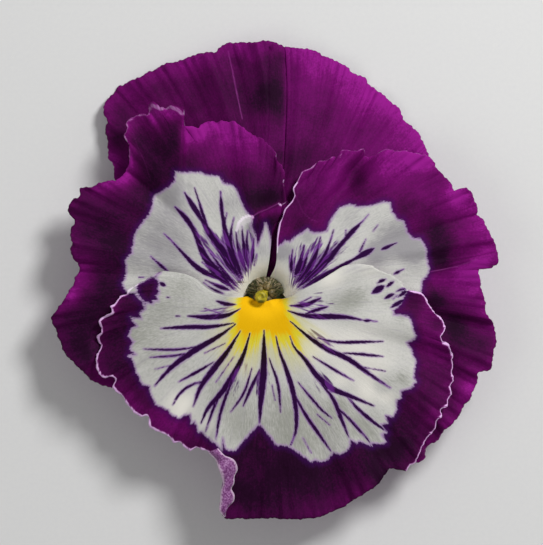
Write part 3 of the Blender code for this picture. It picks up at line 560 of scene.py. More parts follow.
def patch(base, rim, first, last):
    """The grid of points that fills the loop of four curves."""
    u = np.linspace(0.0, 1.0, len(base))[:, None, None]
    v = np.linspace(0.0, 1.0, len(first))[None, :, None]
    across = (1 - v) * base[:, None] + v * rim[:, None]
    along = (1 - u) * first[None] + u * last[None]
    near = (1 - u) * base[0] + u * base[-1]
    far = (1 - u) * rim[0] + u * rim[-1]
    return across + along - (1 - v) * near - v * far


def claw_arc(first, last, count, clockwise):
    """The arc about the throat from the first point round to the last."""
    a = math.atan2(first[1], first[0])
    b = math.atan2(last[1], last[0])
    turn = (a - b) % (2 * math.pi) if clockwise else -((b - a) % (2 * math.pi))
    angles = a - np.linspace(0.0, turn, count)
    radii = np.linspace(np.hypot(*first), np.hypot(*last), count)
    return np.stack([radii * np.cos(angles), radii * np.sin(angles)], axis=1)


def calmed(line, rounds):
    """The line with its small turns smoothed out and its ends kept."""
    line = line.copy()
    for _ in range(rounds):
        line[1:-1] = (line[:-2] + 2 * line[1:-1] + line[2:]) / 4
    return line


def teeth(rim):
    """Small steps in and out along the rim, none at its ends."""
    rng = np.random.default_rng(9)
    ahead = np.gradient(rim, axis=0)
    length = np.hypot(*ahead.T)
    along = np.cumsum(length)
    outward = np.stack([ahead[:, 1], -ahead[:, 0]], axis=1) / length[:, None]
    step = sum(
        np.sin(2 * math.pi * (along / (size * MM) + rng.random())) for size in (0.8, 1.15, 1.9, 2.9))
    fade = ease(np.minimum(along, along[-1] - along) / (3 * MM))
    return RIM_TOOTH * (step * fade)[:, None] * outward


def petal_grid(rim, first, last, size, clockwise, lip=None):
    """The petal seen from the front, in columns of points from the claw, or from the lip, to the
    rim. The fine notches of the rim fade within the outer part of the petal."""
    across, along = size
    edges = [smooth_line(face_plane(first), along), smooth_line(face_plane(last), along)]
    rim = smooth_line(face_plane(rim), across)
    base = claw_arc(edges[0][0], edges[1][0], across, clockwise)
    if lip:
        base = smooth_line(face_plane(lip), across)
    calm = calmed(rim, across // 5)
    calm_edges = [calmed(edge, along // 5) for edge in edges]
    u = np.linspace(0.0, 1.0, across)[:, None, None]
    v = np.linspace(0.0, 1.0, along)[None, :, None]
    grid = patch(base, calm, *calm_edges) + (rim + teeth(rim) - calm)[:, None] * v**9
    grid += (edges[0] - calm_edges[0])[None] * (1 - u) ** 16
    return grid + (edges[1] - calm_edges[1])[None] * u**16


def funnel(x, y, start):
    """The depth under the face, which falls off steeply at first as one goes out from the throat."""
    return FUNNEL_DEPTH * (1 - np.clip((np.hypot(x, y) - start) / FUNNEL_WIDTH, 0.0, 1.0)) ** 2.5


def droop(x, y, depth):
    """How far the petals bend down from the throat outwards."""
    return depth * (np.hypot(x, y) / RIM_RADIUS) ** 1.5


def across_line(x, y, start, end):
    """Distance ahead along the line from start to end as a share, and to its left in metres."""
    start, end = face_plane([start, end])
    line = end - start
    length = np.hypot(*line)
    ahead = ((x - start[0]) * line[0] + (y - start[1]) * line[1]) / length**2
    left = ((y - start[1]) * line[0] - (x - start[0]) * line[1]) / length
    return ahead, left


def ridge(x, y, start, end, before, after):
    """A pleat along the line: 1 on it, falling off to its sides, and towards its start."""
    ahead, left = across_line(x, y, start, end)
    side = np.where(left > 0, 1 - ease(left / before), 1 - ease(-left / after))
    return side * ease(ahead)


def tucked(grid, start, end, side, crest, foot, width):
    """Moves the crest of a pleat over its steep side, and the foot of that side under it."""
    ahead, left = across_line(grid[..., 0], grid[..., 1], start, end)
    away = -left * side
    a, b = face_plane([start, end])
    normal = side * np.array([(b - a)[1], -(b - a)[0]]) / np.hypot(*(b - a))
    over = crest * np.exp(-(((away + 0.5 * width) / width) ** 2))
    under = foot * np.exp(-(((away - 1.6 * width) / width) ** 2))
    return grid + ((over - under) * ease(ahead))[..., None] * normal


def round_share(grid):
    """How far round the throat each column's end is, as a share of the petal."""
    rim = calmed(grid[:, -1], 20)
    angle = np.unwrap(np.arctan2(rim[:, 1], rim[:, 0]))
    return ((angle - angle[0]) / (angle[-1] - angle[0]))[:, None]


def waves(grid, count, phase):
    """Broad waves that grow towards the rim."""
    u = round_share(grid)
    v = np.linspace(0.0, 1.0, grid.shape[1])[None, :]
    first = np.sin(2 * math.pi * (count * u + phase))
    second = 0.45 * np.sin(2 * math.pi * (count * 1.5 * u + 0.3 + phase))
    return (first + second) * v**3.0


def frill(grid, count, seed, power=10.0):
    """Small waves towards the rim, of uneven length."""
    rng = np.random.default_rng(seed)
    u = round_share(grid)
    v = np.linspace(0.0, 1.0, grid.shape[1])[None, :]
    wave = 0.0
    for share in (0.55, 0.8, 1.0, 1.4):
        wave = wave + np.sin(2 * math.pi * (count * share * u + rng.random())) * (0.5 + 0.5 * rng.random())
    return wave * v**power


def levelled(x, y, place):
    """1 at the place, falling off round it: how much the waves are held down there."""
    middle = face_plane([place])[0]
    return np.exp(-((x - middle[0]) ** 2 + (y - middle[1]) ** 2) / CALM_RADIUS**2)


def side_left_height(grid):
    """The left side petal's heights, with its pleat, its curled inner edge and its waves."""
    x, y = grid[..., 0], grid[..., 1]
    z = THROAT_HEIGHT - funnel(x, y, CLAW_RADIUS) - droop(x, y, SIDE_DROOP)
    level = levelled(x, y, LEFT_CALM)
    z += 3.6 * MM * ridge(x, y, *LEFT_PLEAT, before=8 * MM, after=1.9 * MM)
    z += 1.4 * MM * ridge(x, y, *LEFT_CURL, before=1.3 * MM, after=5 * MM)
    z -= 0.8 * MM * ridge(x, y, *LEFT_HOLLOW, before=8 * MM, after=8 * MM)
    ruffles = 0.18 * MM * frill(grid, 17, seed=31, power=4.0)
    z += (ruffles + 0.8 * MM * waves(grid, 8, phase=0.1)) * (1 - level)
    return z + 0.17 * MM * frill(grid, 42, seed=3)


def side_right_height(grid):
    """The right side petal's heights, with its fold and its waves."""
    x, y = grid[..., 0], grid[..., 1]
    z = THROAT_HEIGHT - funnel(x, y, CLAW_RADIUS) - droop(x, y, SIDE_DROOP)
    z += 2.6 * MM * ridge(x, y, *RIGHT_FOLD, before=1.6 * MM, after=8 * MM)
    z -= 1.5 * MM * ridge(x, y, *RIGHT_HOLLOW, before=3.5 * MM, after=3.5 * MM)
    z += 0.18 * MM * frill(grid, 18, seed=32, power=4.0)
    return z + 0.75 * MM * waves(grid, 8, phase=0.35) + 0.17 * MM * frill(grid, 44, seed=5)


def lower_height(grid):
    """The lower petal's heights, with its tongue at the throat, its step and its waves."""
    x, y = grid[..., 0], grid[..., 1]
    tongue = ease((-y / np.maximum(np.hypot(x, y), MM) - 0.2) / 0.7)
    z = THROAT_HEIGHT + 0.4 * MM - droop(x, y, LOWER_DROOP)
    z -= funnel(x, y, CLAW_RADIUS) * (1 - 0.68 * tongue)
    z += 0.9 * MM * ease(np.hypot(x, y) / (14 * MM))
    z += 1.2 * MM * ridge(x, y, *LOWER_STEP, before=4 * MM, after=4 * MM)
    level = levelled(x, y, LOWER_CALM)
    ruffles = 0.18 * MM * frill(grid, 21, seed=33, power=4.0)
    z += (ruffles + 0.16 * MM * frill(grid, 55, seed=7)) * (1 - level)
    return z + 0.85 * MM * waves(grid, 9, phase=0.55) * (1 - 0.7 * level)


def upper_height(grid, depth, count, phase, seed):
    """An upper petal's heights, with that droop and those waves."""
    x, y = grid[..., 0], grid[..., 1]
    outward = 0.62 + 0.38 * ease(np.abs(x) / (24 * MM))
    z = THROAT_HEIGHT - 1.5 * MM - funnel(x, y, UPPER_CLAW_RADIUS) - outward * droop(x, y, depth)
    z += 0.75 * MM * ease((4.3 * MM - np.hypot(x, y)) / (1.2 * MM))
    z += 0.12 * MM * frill(grid, 11, seed=seed + 20, power=3.0)
    return z + 0.6 * MM * waves(grid, count, phase) + 0.11 * MM * frill(grid, 26, seed=seed)


# The square grid of heights that keeps the petals apart: its spacing, half its side, how many
# steps round a place it looks, and the height where there is nothing.
MAP_STEP = 0.6 * MM
MAP_HALF = 48.0 * MM
MAP_REACH = 5
FAR = 1.0


def underside_map(surfaces, thickness):
    """Height of the lowest of the surfaces over a square grid, FAR where there is none."""
    size = int(round(2 * MAP_HALF / MAP_STEP)) + 1
    heights = np.full((size, size), FAR)
    for surface in surfaces:
        i = np.rint((surface[..., 0].ravel() + MAP_HALF) / MAP_STEP).astype(int)
        j = np.rint((surface[..., 1].ravel() + MAP_HALF) / MAP_STEP).astype(int)
        np.minimum.at(heights, (i, j), surface[..., 2].ravel() - thickness / 2)
    return heights


def kept_clear(heights, distance, slope):
    """How high a middle surface may be with the distance kept to the petals above it."""
    padded = np.pad(heights, MAP_REACH, constant_values=FAR)
    size = len(heights)
    clear = np.full_like(heights, FAR)
    tangent = distance * slope / math.hypot(1, slope)
    for i in range(-MAP_REACH, MAP_REACH + 1):
        for j in range(-MAP_REACH, MAP_REACH + 1):
            away = MAP_STEP * math.hypot(i, j)
            if away > MAP_STEP * MAP_REACH:
                continue
            drop = -math.sqrt(distance**2 - min(away, tangent) ** 2)
            drop += slope * max(away - tangent, 0.0)
            part = padded[MAP_REACH + i:MAP_REACH + i + size, MAP_REACH + j:MAP_REACH + j + size]
            clear = np.minimum(clear, part + drop)
    return clear


def pressed_under(surface, clear):
    """The surface lowered smoothly wherever it would be above the clear height."""
    size = len(clear)
    fx = np.clip((surface[..., 0] + MAP_HALF) / MAP_STEP, 0, size - 1.001)
    fy = np.clip((surface[..., 1] + MAP_HALF) / MAP_STEP, 0, size - 1.001)
    i, j = fx.astype(int), fy.astype(int)
    tx, ty = fx - i, fy - j
    limit = (clear[i, j] * (1 - tx) + clear[i + 1, j] * tx) * (1 - ty)
    limit += (clear[i, j + 1] * (1 - tx) + clear[i + 1, j + 1] * tx) * ty
    z = surface[..., 2]
    soft = 0.8 * MM
    limit = np.minimum(limit, z + 2 * soft)
    blend = np.maximum(soft - np.abs(z - limit), 0.0)
    return np.dstack([surface[..., :2], np.minimum(z, limit) - blend**2 / (4 * soft)])


def off_segment(x, y, a, b):
    """Distance to the segment from a to b, and how far along it the nearest place is."""
    step = b - a
    t = ((x - a[0]) * step[0] + (y - a[1]) * step[1]) / (step @ step)
    t = np.clip(t, 0.0, 1.0)
    return np.hypot(x - a[0] - t * step[0], y - a[1] - t * step[1]), t


def stroke_distance(x, y, strokes, widest):
    """Distance in pixels to the nearest edge of the strokes, below 0 inside them. A stroke is
    widest at that share of its length and thin at both ends."""
    nearest = np.full(x.shape, FAR_IN_PIXELS)
    for width, points in strokes:
        line = smooth_line(points, 2 + 3 * len(points)) if len(points) > 2 else np.array(points, float)
        share = np.linspace(0.0, 1.0, len(line))
        swell = np.sin(math.pi * share ** (math.log(0.5) / math.log(widest)))
        half = 0.5 * width * (0.13 + 0.87 * np.maximum(swell, 0.0) ** 1.05)
        for a, b, ha, hb in zip(line[:-1], line[1:], half[:-1], half[1:]):
            away, t = off_segment(x, y, a, b)
            nearest = np.minimum(nearest, away - ha - t * (hb - ha))
    return nearest


def pale_lines(x, y, strokes):
    """How strong the pale lines are at each place."""
    most = np.zeros(x.shape)
    for width, strength, points in strokes:
        line = np.array(points, float)
        for a, b in zip(line[:-1], line[1:]):
            away, _ = off_segment(x, y, a, b)
            most = np.maximum(most, strength * ease(0.5 + (width / 2 - away) / 1.2))
    return most


def inside_distance(x, y, outline):
    """Distance in pixels to the outline, above 0 inside it."""
    line = np.array(outline, float)
    inside = np.zeros(x.shape, bool)
    nearest = np.full(x.shape, np.inf)
    for a, b in zip(line, np.roll(line, -1, axis=0)):
        nearest = np.minimum(nearest, off_segment(x, y, a, b)[0])
        if a[1] != b[1]:
            crosses = (a[1] > y) != (b[1] > y)
            inside ^= crosses & (x < a[0] + (y - a[1]) * (b - a)[0] / (b - a)[1])
    return np.where(inside, nearest, -nearest)


def within(x, y, outlines):
    """Distance in pixels to the edge of the outlines together, above 0 inside any of them."""
    return np.max([inside_distance(x, y, outline) for outline in outlines], axis=0)


def blots(x, y, places, base=0.0):
    """The base value with the places' amounts added, each fading out by its radius."""
    total = np.full(x.shape, base)
    for cx, cy, radius, amount in places:
        total += amount * np.exp(-((x - cx) ** 2 + (y - cy) ** 2) / radius**2)
    return total


def alone(obj):
    """Selects only this object and makes it the active one."""
    bpy.ops.object.select_all(action="DESELECT")
    obj.select_set(True)
    bpy.context.view_layer.objects.active = obj


def grid_piece(name, surface):
    """A grid primitive whose points are put on the surface, with its front up."""
    across, along = surface.shape[:2]
    bpy.ops.object.select_all(action="DESELECT")
    bpy.ops.mesh.primitive_grid_add(
        x_subdivisions=across - 1, y_subdivisions=along - 1, size=1.0, calc_uvs=True)
    piece = bpy.context.object
    piece.name = name
    mesh = piece.data
    mesh.name = name
    count = len(mesh.vertices)
    if count != across * along:
        raise RuntimeError(f"{name}: the grid has {count} points, not {across * along}")
    flat = np.empty(count * 3)
    mesh.vertices.foreach_get("co", flat)
    flat = flat.reshape(-1, 3)
    i = np.rint((flat[:, 0] + 0.5) * (across - 1)).astype(int)
    j = np.rint((flat[:, 1] + 0.5) * (along - 1)).astype(int)
    mesh.vertices.foreach_set("co", surface[i, j].ravel())
    mesh.update()
    alone(piece)
    up = sum(p.normal.z * p.area for p in mesh.polygons)
    if up < 0:
        bpy.ops.object.mode_set(mode="EDIT")
        bpy.ops.mesh.select_all(action="SELECT")
        bpy.ops.mesh.flip_normals()
        bpy.ops.object.mode_set(mode="OBJECT")
    bpy.ops.object.shade_smooth()
    return piece, (i, j)


def mark(piece, name, values):
    """Gives each point of the piece a value that its finish reads."""
    layer = piece.data.attributes.new(name, "FLOAT", "POINT")
    layer.data.foreach_set("value", np.asarray(values, np.float32))


def thinner_edge(piece, places, size):
    """A group of the piece's points whose share falls off at the free edges."""
    (i, j), (across, along) = places, size
    steps = np.minimum(np.minimum(i, across - 1 - i), along - 1 - j)
    group = piece.vertex_groups.new(name="blade")
    for share, inside in ((0.0, steps == 0), (0.5, steps == 1), (1.0, steps > 1)):
        group.add(np.flatnonzero(inside).tolist(), share, "REPLACE")
    return group.name


def thicken(piece, thickness, group=""):
    """Gives the blade its thickness, less at the points that the group holds back."""
    alone(piece)
    modifier = piece.modifiers.new("thickness", "SOLIDIFY")
    modifier.thickness = thickness
    modifier.offset = 0.0
    modifier.vertex_group = group
    modifier.thickness_vertex_group = 0.25
    modifier.material_offset = 1
    modifier.material_offset_rim = 0
    bpy.ops.object.modifier_apply(modifier=modifier.name)


def apply_finishes(piece, *finishes):
    """The first finish goes on the front, the second on the back."""
    piece.data.materials.clear()
    for finish in finishes:
        piece.data.materials.append(finish)


def shift_to_frame(piece):
    """Moves the mesh from the throat's own frame into the row frame."""
    piece.data.transform(Matrix.Translation((*throat(), 0.0)))
    piece.data.update()


def tube_rings(path, radii, around, flat=1.0):
    """Closed rings of the radii about a path that runs nearly in a plane of constant x."""
    path = np.asarray(path, float)
    ahead = np.gradient(path, axis=0)
    ahead /= np.linalg.norm(ahead, axis=1, keepdims=True)
    side = np.array([1.0, 0.0, 0.0]) - ahead * ahead[:, :1]
    side /= np.linalg.norm(side, axis=1, keepdims=True)
    other = np.cross(ahead, side)
    turn = np.linspace(0.0, 2 * math.pi, around, endpoint=False)[None, :, None]
    ring = np.cos(turn) * side[:, None] + flat * np.sin(turn) * other[:, None]
    return path[:, None] + np.asarray(radii).reshape(len(path), -1)[..., None] * ring


def turned_rings(profile, around):
    """Closed level rings, one for each radius and height of the profile."""
    turn = np.linspace(0.0, 2 * math.pi, around, endpoint=False)
    ring = np.stack([np.cos(turn), np.sin(turn), np.zeros(around)], axis=1)
    return np.array([r * ring + (0.0, 0.0, z) for r, z in profile])


def wrapped(name, rings, finish):
    """A closed tube through the rings: a grid primitive bent round, sewn and filled at its ends."""
    surface = np.concatenate([rings, rings[:, :1]], axis=1).transpose(1, 0, 2)
    piece, _ = grid_piece(name, surface)
    bpy.ops.object.mode_set(mode="EDIT")
    bpy.ops.mesh.select_all(action="SELECT")
    bpy.ops.mesh.remove_doubles(threshold=1e-6)
    bpy.ops.mesh.select_all(action="SELECT")
    bpy.ops.mesh.fill_holes(sides=0)
    bpy.ops.mesh.select_all(action="SELECT")
    bpy.ops.mesh.normals_make_consistent(inside=False)
    bpy.ops.object.mode_set(mode="OBJECT")
    bpy.ops.object.shade_smooth_by_angle(angle=math.radians(60))
    apply_finishes(piece, finish)
    return piece


def join_to(piece, extras):
    """Makes the extras part of the piece."""
    alone(piece)
    for extra in extras:
        extra.select_set(True)
    bpy.ops.object.join()


def nearest_height(surface, points):
    """Height of the surface's point nearest to each point of the plane."""
    flat = surface.reshape(-1, 3)
    return np.array([flat[np.argmin(np.hypot(*(flat[:, :2] - p).T)), 2] for p in points])


def sepal_surface(angle, across, along):
    """A pointed blade that leaves the receptacle with a small ear turned back along it."""
    # in millimetres, from the ear round to the tip
    radius = [4.75, 4.2, 4.35, 5.6, 8.0, 11.0, 14.5, 16.0]
    height = [3.4, 4.3, 5.4, 6.3, 7.0, 7.2, 6.9, 6.6]
    width = [0.35, 0.8, 0.85, 0.95, 1.9, 1.9, 0.85, 0.12]
    profile = smooth_line(np.stack([radius, height, width], axis=1), along)
    share = np.linspace(-1.0, 1.0, across)[None, :]
    side = profile[:, 2:] * share
    groove = 0.12 * np.exp(-((share / 0.12) ** 2)) * (profile[:, 2:] / 1.9)
    z = profile[:, 1:2] - 0.12 * side**2 - groove
    a = math.radians(angle)
    x = profile[:, :1] * math.cos(a) - side * math.sin(a)
    y = profile[:, :1] * math.sin(a) + side * math.cos(a)
    return np.dstack([x, y, z]).transpose(1, 0, 2) * MM


def rolled_edge(surface, finish):
    """The strip of the lower petal's margin that is turned over towards the front."""
    along, round_it, full_turn = 90, 14, 0.8 * math.pi
    fold = smooth_line(face_plane(ROLL_FOLD), along)
    edge = smooth_line(face_plane(ROLL_EDGE), along)
    low = calmed(nearest_height(surface, fold) + 0.15 * MM, 12)
    near = calmed(nearest_height(surface, edge) + 0.3 * MM, 12)
    turn = np.linspace(0.0, full_turn, round_it)
    share = (1 - np.cos(turn)) / (1 - math.cos(full_turn))
    reach = np.hypot(*(edge - fold).T)[:, None]
    plane = fold[:, None] + (edge - fold)[:, None] * share[None, :, None]
    crinkle = 0.12 * MM * np.sin(np.linspace(0.0, 26.0, along))[:, None] * share[None, :]
    height = low[:, None] + (near - low)[:, None] * share[None, :]
    height = height + np.minimum(0.55 * reach, 0.9 * MM) * np.sin(turn)[None, :] + crinkle
    piece, (i, j) = grid_piece("rolled_edge", np.dstack([plane, height]))
    mark(piece, "rim", (np.abs(share - 0.5) * 2)[j])
    apply_finishes(piece, finish, finish)
    thicken(piece, ROLL_THICKNESS)
    return piece


def hairs(name, finish, first_angle, last_angle, seed):
    """Short curved hairs on the funnel of a side petal, leaning over the throat."""
    rng = random.Random(seed)
    path = np.array([(0, 0, 0), (0.10, 0, 0.45), (0.38, 0, 0.85), (0.85, 0, 1.05)]) * MM
    rings = tube_rings(path[:, [1, 0, 2]], np.array([0.085, 0.08, 0.06, 0.02]) * MM, 5)
    first = wrapped(name, rings, finish)
    grown = []
    for _ in range(HAIRS):
        angle = math.radians(rng.uniform(first_angle, last_angle))
        top = max(math.sin(angle), 0.0) ** 2
        radius = CLAW_RADIUS + rng.uniform(-0.3, 0.6 - 0.5 * top) * MM
        length = rng.uniform(0.9, 1.7)
        hair = first.copy()
        hair.data = first.data.copy()
        bpy.context.collection.objects.link(hair)
        lean = rng.uniform(0.15, 0.75)
        size = Matrix.Diagonal((rng.uniform(0.8, 1.3), length * (0.8 + lean), length, 1.0))
        turn = Matrix.Rotation(angle + math.pi / 2 + rng.uniform(-0.5, 0.5), 4, "Z")
        height = THROAT_HEIGHT - funnel(radius, 0.0, CLAW_RADIUS) + 0.1 * MM
        place = Matrix.Translation((radius * math.cos(angle), radius * math.sin(angle), height))
        hair.data.transform(place @ turn @ size)
        mark(hair, "tuft", np.full(len(hair.data.vertices), rng.random() * (0.5 + 0.5 * top)))
        grown.append(hair)
    bpy.data.objects.remove(first)
    return grown


class Value:
    """A shader socket that sums and products can be written with."""

    def __init__(self, look, socket):
        self.look = look
        self.socket = socket

    def maths(self, operation, first, second):
        return self.look.node("ShaderNodeMath", {"operation": operation}, {0: first, 1: second})

    def __add__(self, other):
        return self.maths("ADD", self, other)

    def __sub__(self, other):
        return self.maths("SUBTRACT", self, other)

    def __mul__(self, other):
        return self.maths("MULTIPLY", self, other)

    def between(self, low, high):
        """0 at low and 1 at high, with a smooth step between."""
        settings = {"interpolation_type": "SMOOTHSTEP"}
        return self.look.node("ShaderNodeMapRange", settings, {0: self, 1: low, 2: high})


class Look:
    """A material that is put together node by node."""

    def __init__(
            self, name, roughness, specular, sheen=0.0, sheen_tint=(1.0, 1.0, 1.0), subsurface=0.0):
        self.material = bpy.data.materials.new(name)
        self.material.use_nodes = True
        self.tree = self.material.node_tree
        self.shader = self.tree.nodes["Principled BSDF"]
        self.shader.inputs["Roughness"].default_value = roughness
        self.shader.inputs["Sheen Weight"].default_value = sheen
        self.shader.inputs["Sheen Roughness"].default_value = 0.35
        self.shader.inputs["Sheen Tint"].default_value = (*sheen_tint, 1.0)
        self.shader.inputs["Specular IOR Level"].default_value = specular
        self.shader.inputs["Subsurface Weight"].default_value = subsurface
        self.shader.inputs["Subsurface Scale"].default_value = 0.6 * MM

    def node(self, kind, settings, inputs, output=0):
        """A node with its settings, and with its inputs linked or set."""
        made = self.tree.nodes.new(kind)
        for name, value in settings.items():
            if name == "stops":
                self.set_stops(made.color_ramp, value)
            else:
                setattr(made, name, value)
        for key, value in inputs.items():
            if isinstance(value, Value):
                self.tree.links.new(value.socket, made.inputs[key])
            else:
                made.inputs[key].default_value = value
        return Value(self, made.outputs[output])

    def set_stops(self, ramp, stops):
        while len(ramp.elements) > 1:
            ramp.elements.remove(ramp.elements[-1])
        for n, (place, colour) in enumerate(stops):
            stop = ramp.elements[0] if n == 0 else ramp.elements.new(place)
            stop.position = place
            stop.color = (*colour, 1.0)

    def feed(self, name, value):
        """Links the value to the shader's input of that name."""
        self.tree.links.new(value.socket, self.shader.inputs[name])

    def attribute(self, name):
        """The value that the piece was marked with under that name."""
        return self.node("ShaderNodeAttribute", {"attribute_name": name}, {}, "Fac")

    def surface_uv(self, scale):
        """The piece's own UV, across and along the petal, times the scale."""
        at = self.node("ShaderNodeTexCoord", {}, {}, "UV")
        return self.node("ShaderNodeVectorMath", {"operation": "MULTIPLY"}, {0: at, 1: scale})

    def noise(self, place, scale, detail, roughness):
        inputs = {"Vector": place, "Scale": scale, "Detail": detail, "Roughness": roughness}
        return self.node("ShaderNodeTexNoise", {}, inputs, "Fac")

    def streaked(self, across, along, detail=3.0, roughness=0.6):
        """Noise drawn out along the piece, by how fine it is across it and along it."""
        return self.noise(self.surface_uv((across, along, 1.0)), 1.0, detail, roughness)

    def speckled(self, scale, detail=3.0, roughness=0.6):
        """Noise that is as fine in every direction."""
        return self.noise(self.node("ShaderNodeTexCoord", {}, {}, "Object"), scale, detail, roughness)

    def mix(self, first, second, share):
        """The first colour at share 0 and the second at 1."""
        inputs = {0: share}
        for socket, colour in ((6, first), (7, second)):
            inputs[socket] = colour if isinstance(colour, Value) else (*colour, 1.0)
        return self.node("ShaderNodeMix", {"data_type": "RGBA"}, inputs, 2)

    def ramp(self, value, stops):
        """The colour at that value between the stops."""
        return self.node("ShaderNodeValToRGB", {"stops": stops}, {0: value})

    def finished(self, colour, height, strength, distance):
        """The material, with its colour and with the height as its fine relief."""
        self.feed("Base Color", colour)
        inputs = {"Strength": strength, "Distance": distance, "Height": height}
        self.feed("Normal", self.node("ShaderNodeBump", {}, inputs))
        return self.material


def petal_face(name, settings, streaks, whites):
    """The velvety front of a petal: purple with fine streaks along it, lighter and darker places that are
    partly painted light and shade, a painted highlight towards the rim, and pale lines on the rim and
    creases that are partly painted highlights; and on the marked ones the white centre, the violet whiskers
    and the yellow by the throat."""
    look = Look(name, roughness=0.7, specular=0.06, sheen=settings.velvet, sheen_tint=(0.8, 0.2, 0.7))
    streak = look.streaked(streaks, 3.0, 4.0)
    fine = look.streaked(streaks * 3, 26.0)
    cloud = look.speckled(260.0)
    rimward = look.node("ShaderNodeSeparateXYZ", {}, {0: look.surface_uv((1.0, 1.0, 1.0))}, 1)
    grain = look.speckled(3000.0, 2.0)
    # the marked tone with its painted light and shade, streaks and grain; the last term is a painted
    # highlight towards the frilled rim
    tone_and_shading = look.attribute("tone_and_shading") + (streak - 0.5) * 0.2 + (fine - 0.5) * 0.26
    tone_and_shading = tone_and_shading + (cloud - 0.5) * 0.4 + (grain - 0.5) * 0.36 + rimward.between(0.9, 1.0) * 0.16
    colour = look.ramp(tone_and_shading, [
        (0.0, DARKEST_PURPLE), (0.2, settings.deep_purple), (0.5, settings.purple),
        (0.8, settings.light_purple), (1.0, LIGHTEST_PURPLE)])
    height = streak * 0.6 + fine * 0.4 + grain * 0.3
    if whites:
        colour, height = marked_centre(look, settings, whites, colour, height, streak, fine, grain)
    # the pale lines: the rims' own pale margin, with painted highlights along the rims, creases and fold
    # crests
    line = look.attribute("pale") * (fine * 0.8 + 0.6)
    rim = look.mix(PLUM_RIM, settings.rim, line.between(0.3, 0.9))
    if whites:
        rim = look.mix(rim, PALE_RIM_ON_WHITE, look.attribute("white").between(-1.5, 1.0))
    return look.finished(look.mix(colour, rim, line.between(0.05, 0.75)), height, 0.4, 0.14 * MM)


def marked_centre(look, settings, whites, colour, height, streak, fine, grain):
    """The white centre with its lilac edge, the veins, the haze between them and the yellow."""
    light, grey = whites
    broad = look.streaked(42.0, 2.5)
    dark = look.mix(VEIN_DARK, VEIN_LIGHT, fine)
    dark = look.mix(dark, VEIN_ON_YELLOW, look.attribute("yellow").between(-14.0, -2.0))
    violet = look.mix(VIOLET_DARK, VIOLET_LIGHT, broad.between(0.4, 0.62))
    cream = look.mix(settings.white, WHITE_GRAIN, (grain * 0.6 + fine * 0.4).between(0.4, 0.75))
    cream = look.mix(cream, WHITE_STREAK, streak.between(0.5, 0.72) * 0.5)
    # painted shade on the white, and where the marks are below 0 painted light
    shade = look.attribute("shade") + (fine - 0.5) * 1.4 * look.attribute("shade").between(0.0, 0.3)
    cream = look.mix(cream, light, look.attribute("shade").between(0.1, -0.9))
    cream = look.mix(cream, grey, shade.between(-0.1, 1.1) * 0.8)
    # the cream by the throat, with painted light against the funnel's shade
    cream = look.mix(cream, WHITE_AND_LIGHT_AT_THROAT, look.attribute("near"))
    white = look.attribute("white") + (streak - 0.5) * 3.0 + (fine - 0.5) * 4.0 + (grain - 0.5) * 2.0
    white = white + (broad - 0.5) * 4.0
    colour = look.mix(colour, PURPLE_BY_WHITE, white.between(-8.0, -0.5) * 0.6)
    colour = look.mix(colour, LILAC_BY_WHITE, white.between(-1.6, 0.3))
    colour = look.mix(colour, cream, white.between(-0.6, 2.6))
    spread = {0: look.attribute("turn") * 17.0, 1: look.attribute("away") * 0.04}
    fan = look.node("ShaderNodeCombineXYZ", {}, spread)
    spokes = look.noise(fan, 1.0, 2.0, 0.5)
    haze = look.attribute("haze") + (spokes - 0.5) * 30.0 + (fine - 0.5) * 12.0
    stripe = spokes.between(0.42, 0.56) * 0.6 + 0.36
    colour = look.mix(colour, violet, haze.between(-2.0, 4.0) * white.between(0.0, 3.0) * stripe)
    vein = look.attribute("vein") + (fine - 0.5) * 2.4 + (grain - 0.5) * 1.0
    colour = look.mix(colour, VEIN_EDGE, vein.between(2.0, 0.3) * white.between(0.0, 3.0) * 0.6)
    colour = look.mix(colour, violet, vein.between(0.8, 0.0) * 0.8)
    colour = look.mix(colour, dark, (vein + (broad - 0.5) * 1.5).between(0.45, -0.45))
    glint = spokes.between(0.52, 0.6) * haze.between(-4.0, 4.0) * vein.between(0.4, 0.0)
    colour = look.mix(colour, VEIN_GLINT, glint * 0.8)
    yellow = look.attribute("yellow") + (streak - 0.5) * 6.0 + (broad - 0.5) * 13.0 + (fine - 0.5) * 5.0
    clear_of_vein = vein.between(-0.2, 1.2)
    colour = look.mix(colour, OLIVE, yellow.between(-13.0, 0.0) * clear_of_vein * 0.6)
    colour = look.mix(colour, LEMON, yellow.between(-3.0, 2.0) * clear_of_vein)
    gold = look.mix(settings.yellow, GOLD_AT_THROAT, look.attribute("near").between(0.2, 1.0))
    colour = look.mix(colour, gold, yellow.between(2.0, 6.5) * clear_of_vein)
    return colour, height * 1.2 + vein.between(1.2, -1.0) * 0.35


def petal_back(name, settings):
    """The paler, satin back of a petal, with its veins standing out a little."""
    look = Look(name, roughness=0.5, specular=0.3, sheen=0.15)
    streak = look.streaked(70.0, 3.0, 4.0)
    blotch = look.speckled(900.0)
    colour = look.ramp(streak * 0.7 + blotch * 0.5, [
        (0.35, settings.back_dark), (0.6, settings.back_light), (0.8, BACK_VEIN)])
    return look.finished(colour, streak, 0.4, 0.15 * MM)


def rolled_look():
    """The mottled pale back of the petal where its margin is turned over."""
    look = Look("rolled edge", roughness=0.5, specular=0.3, sheen=0.2)
    blotch = look.speckled(3200.0, 3.0, 0.65)
    rim = look.attribute("rim") + (blotch - 0.5) * 0.5
    colour = look.ramp(blotch, zip((0.36, 0.5, 0.64), ROLL_COLOURS))
    colour = look.mix(colour, ROLL_RIM, rim.between(0.64, 0.95) * 0.85)
    return look.finished(colour, blotch, 0.5, 0.1 * MM)


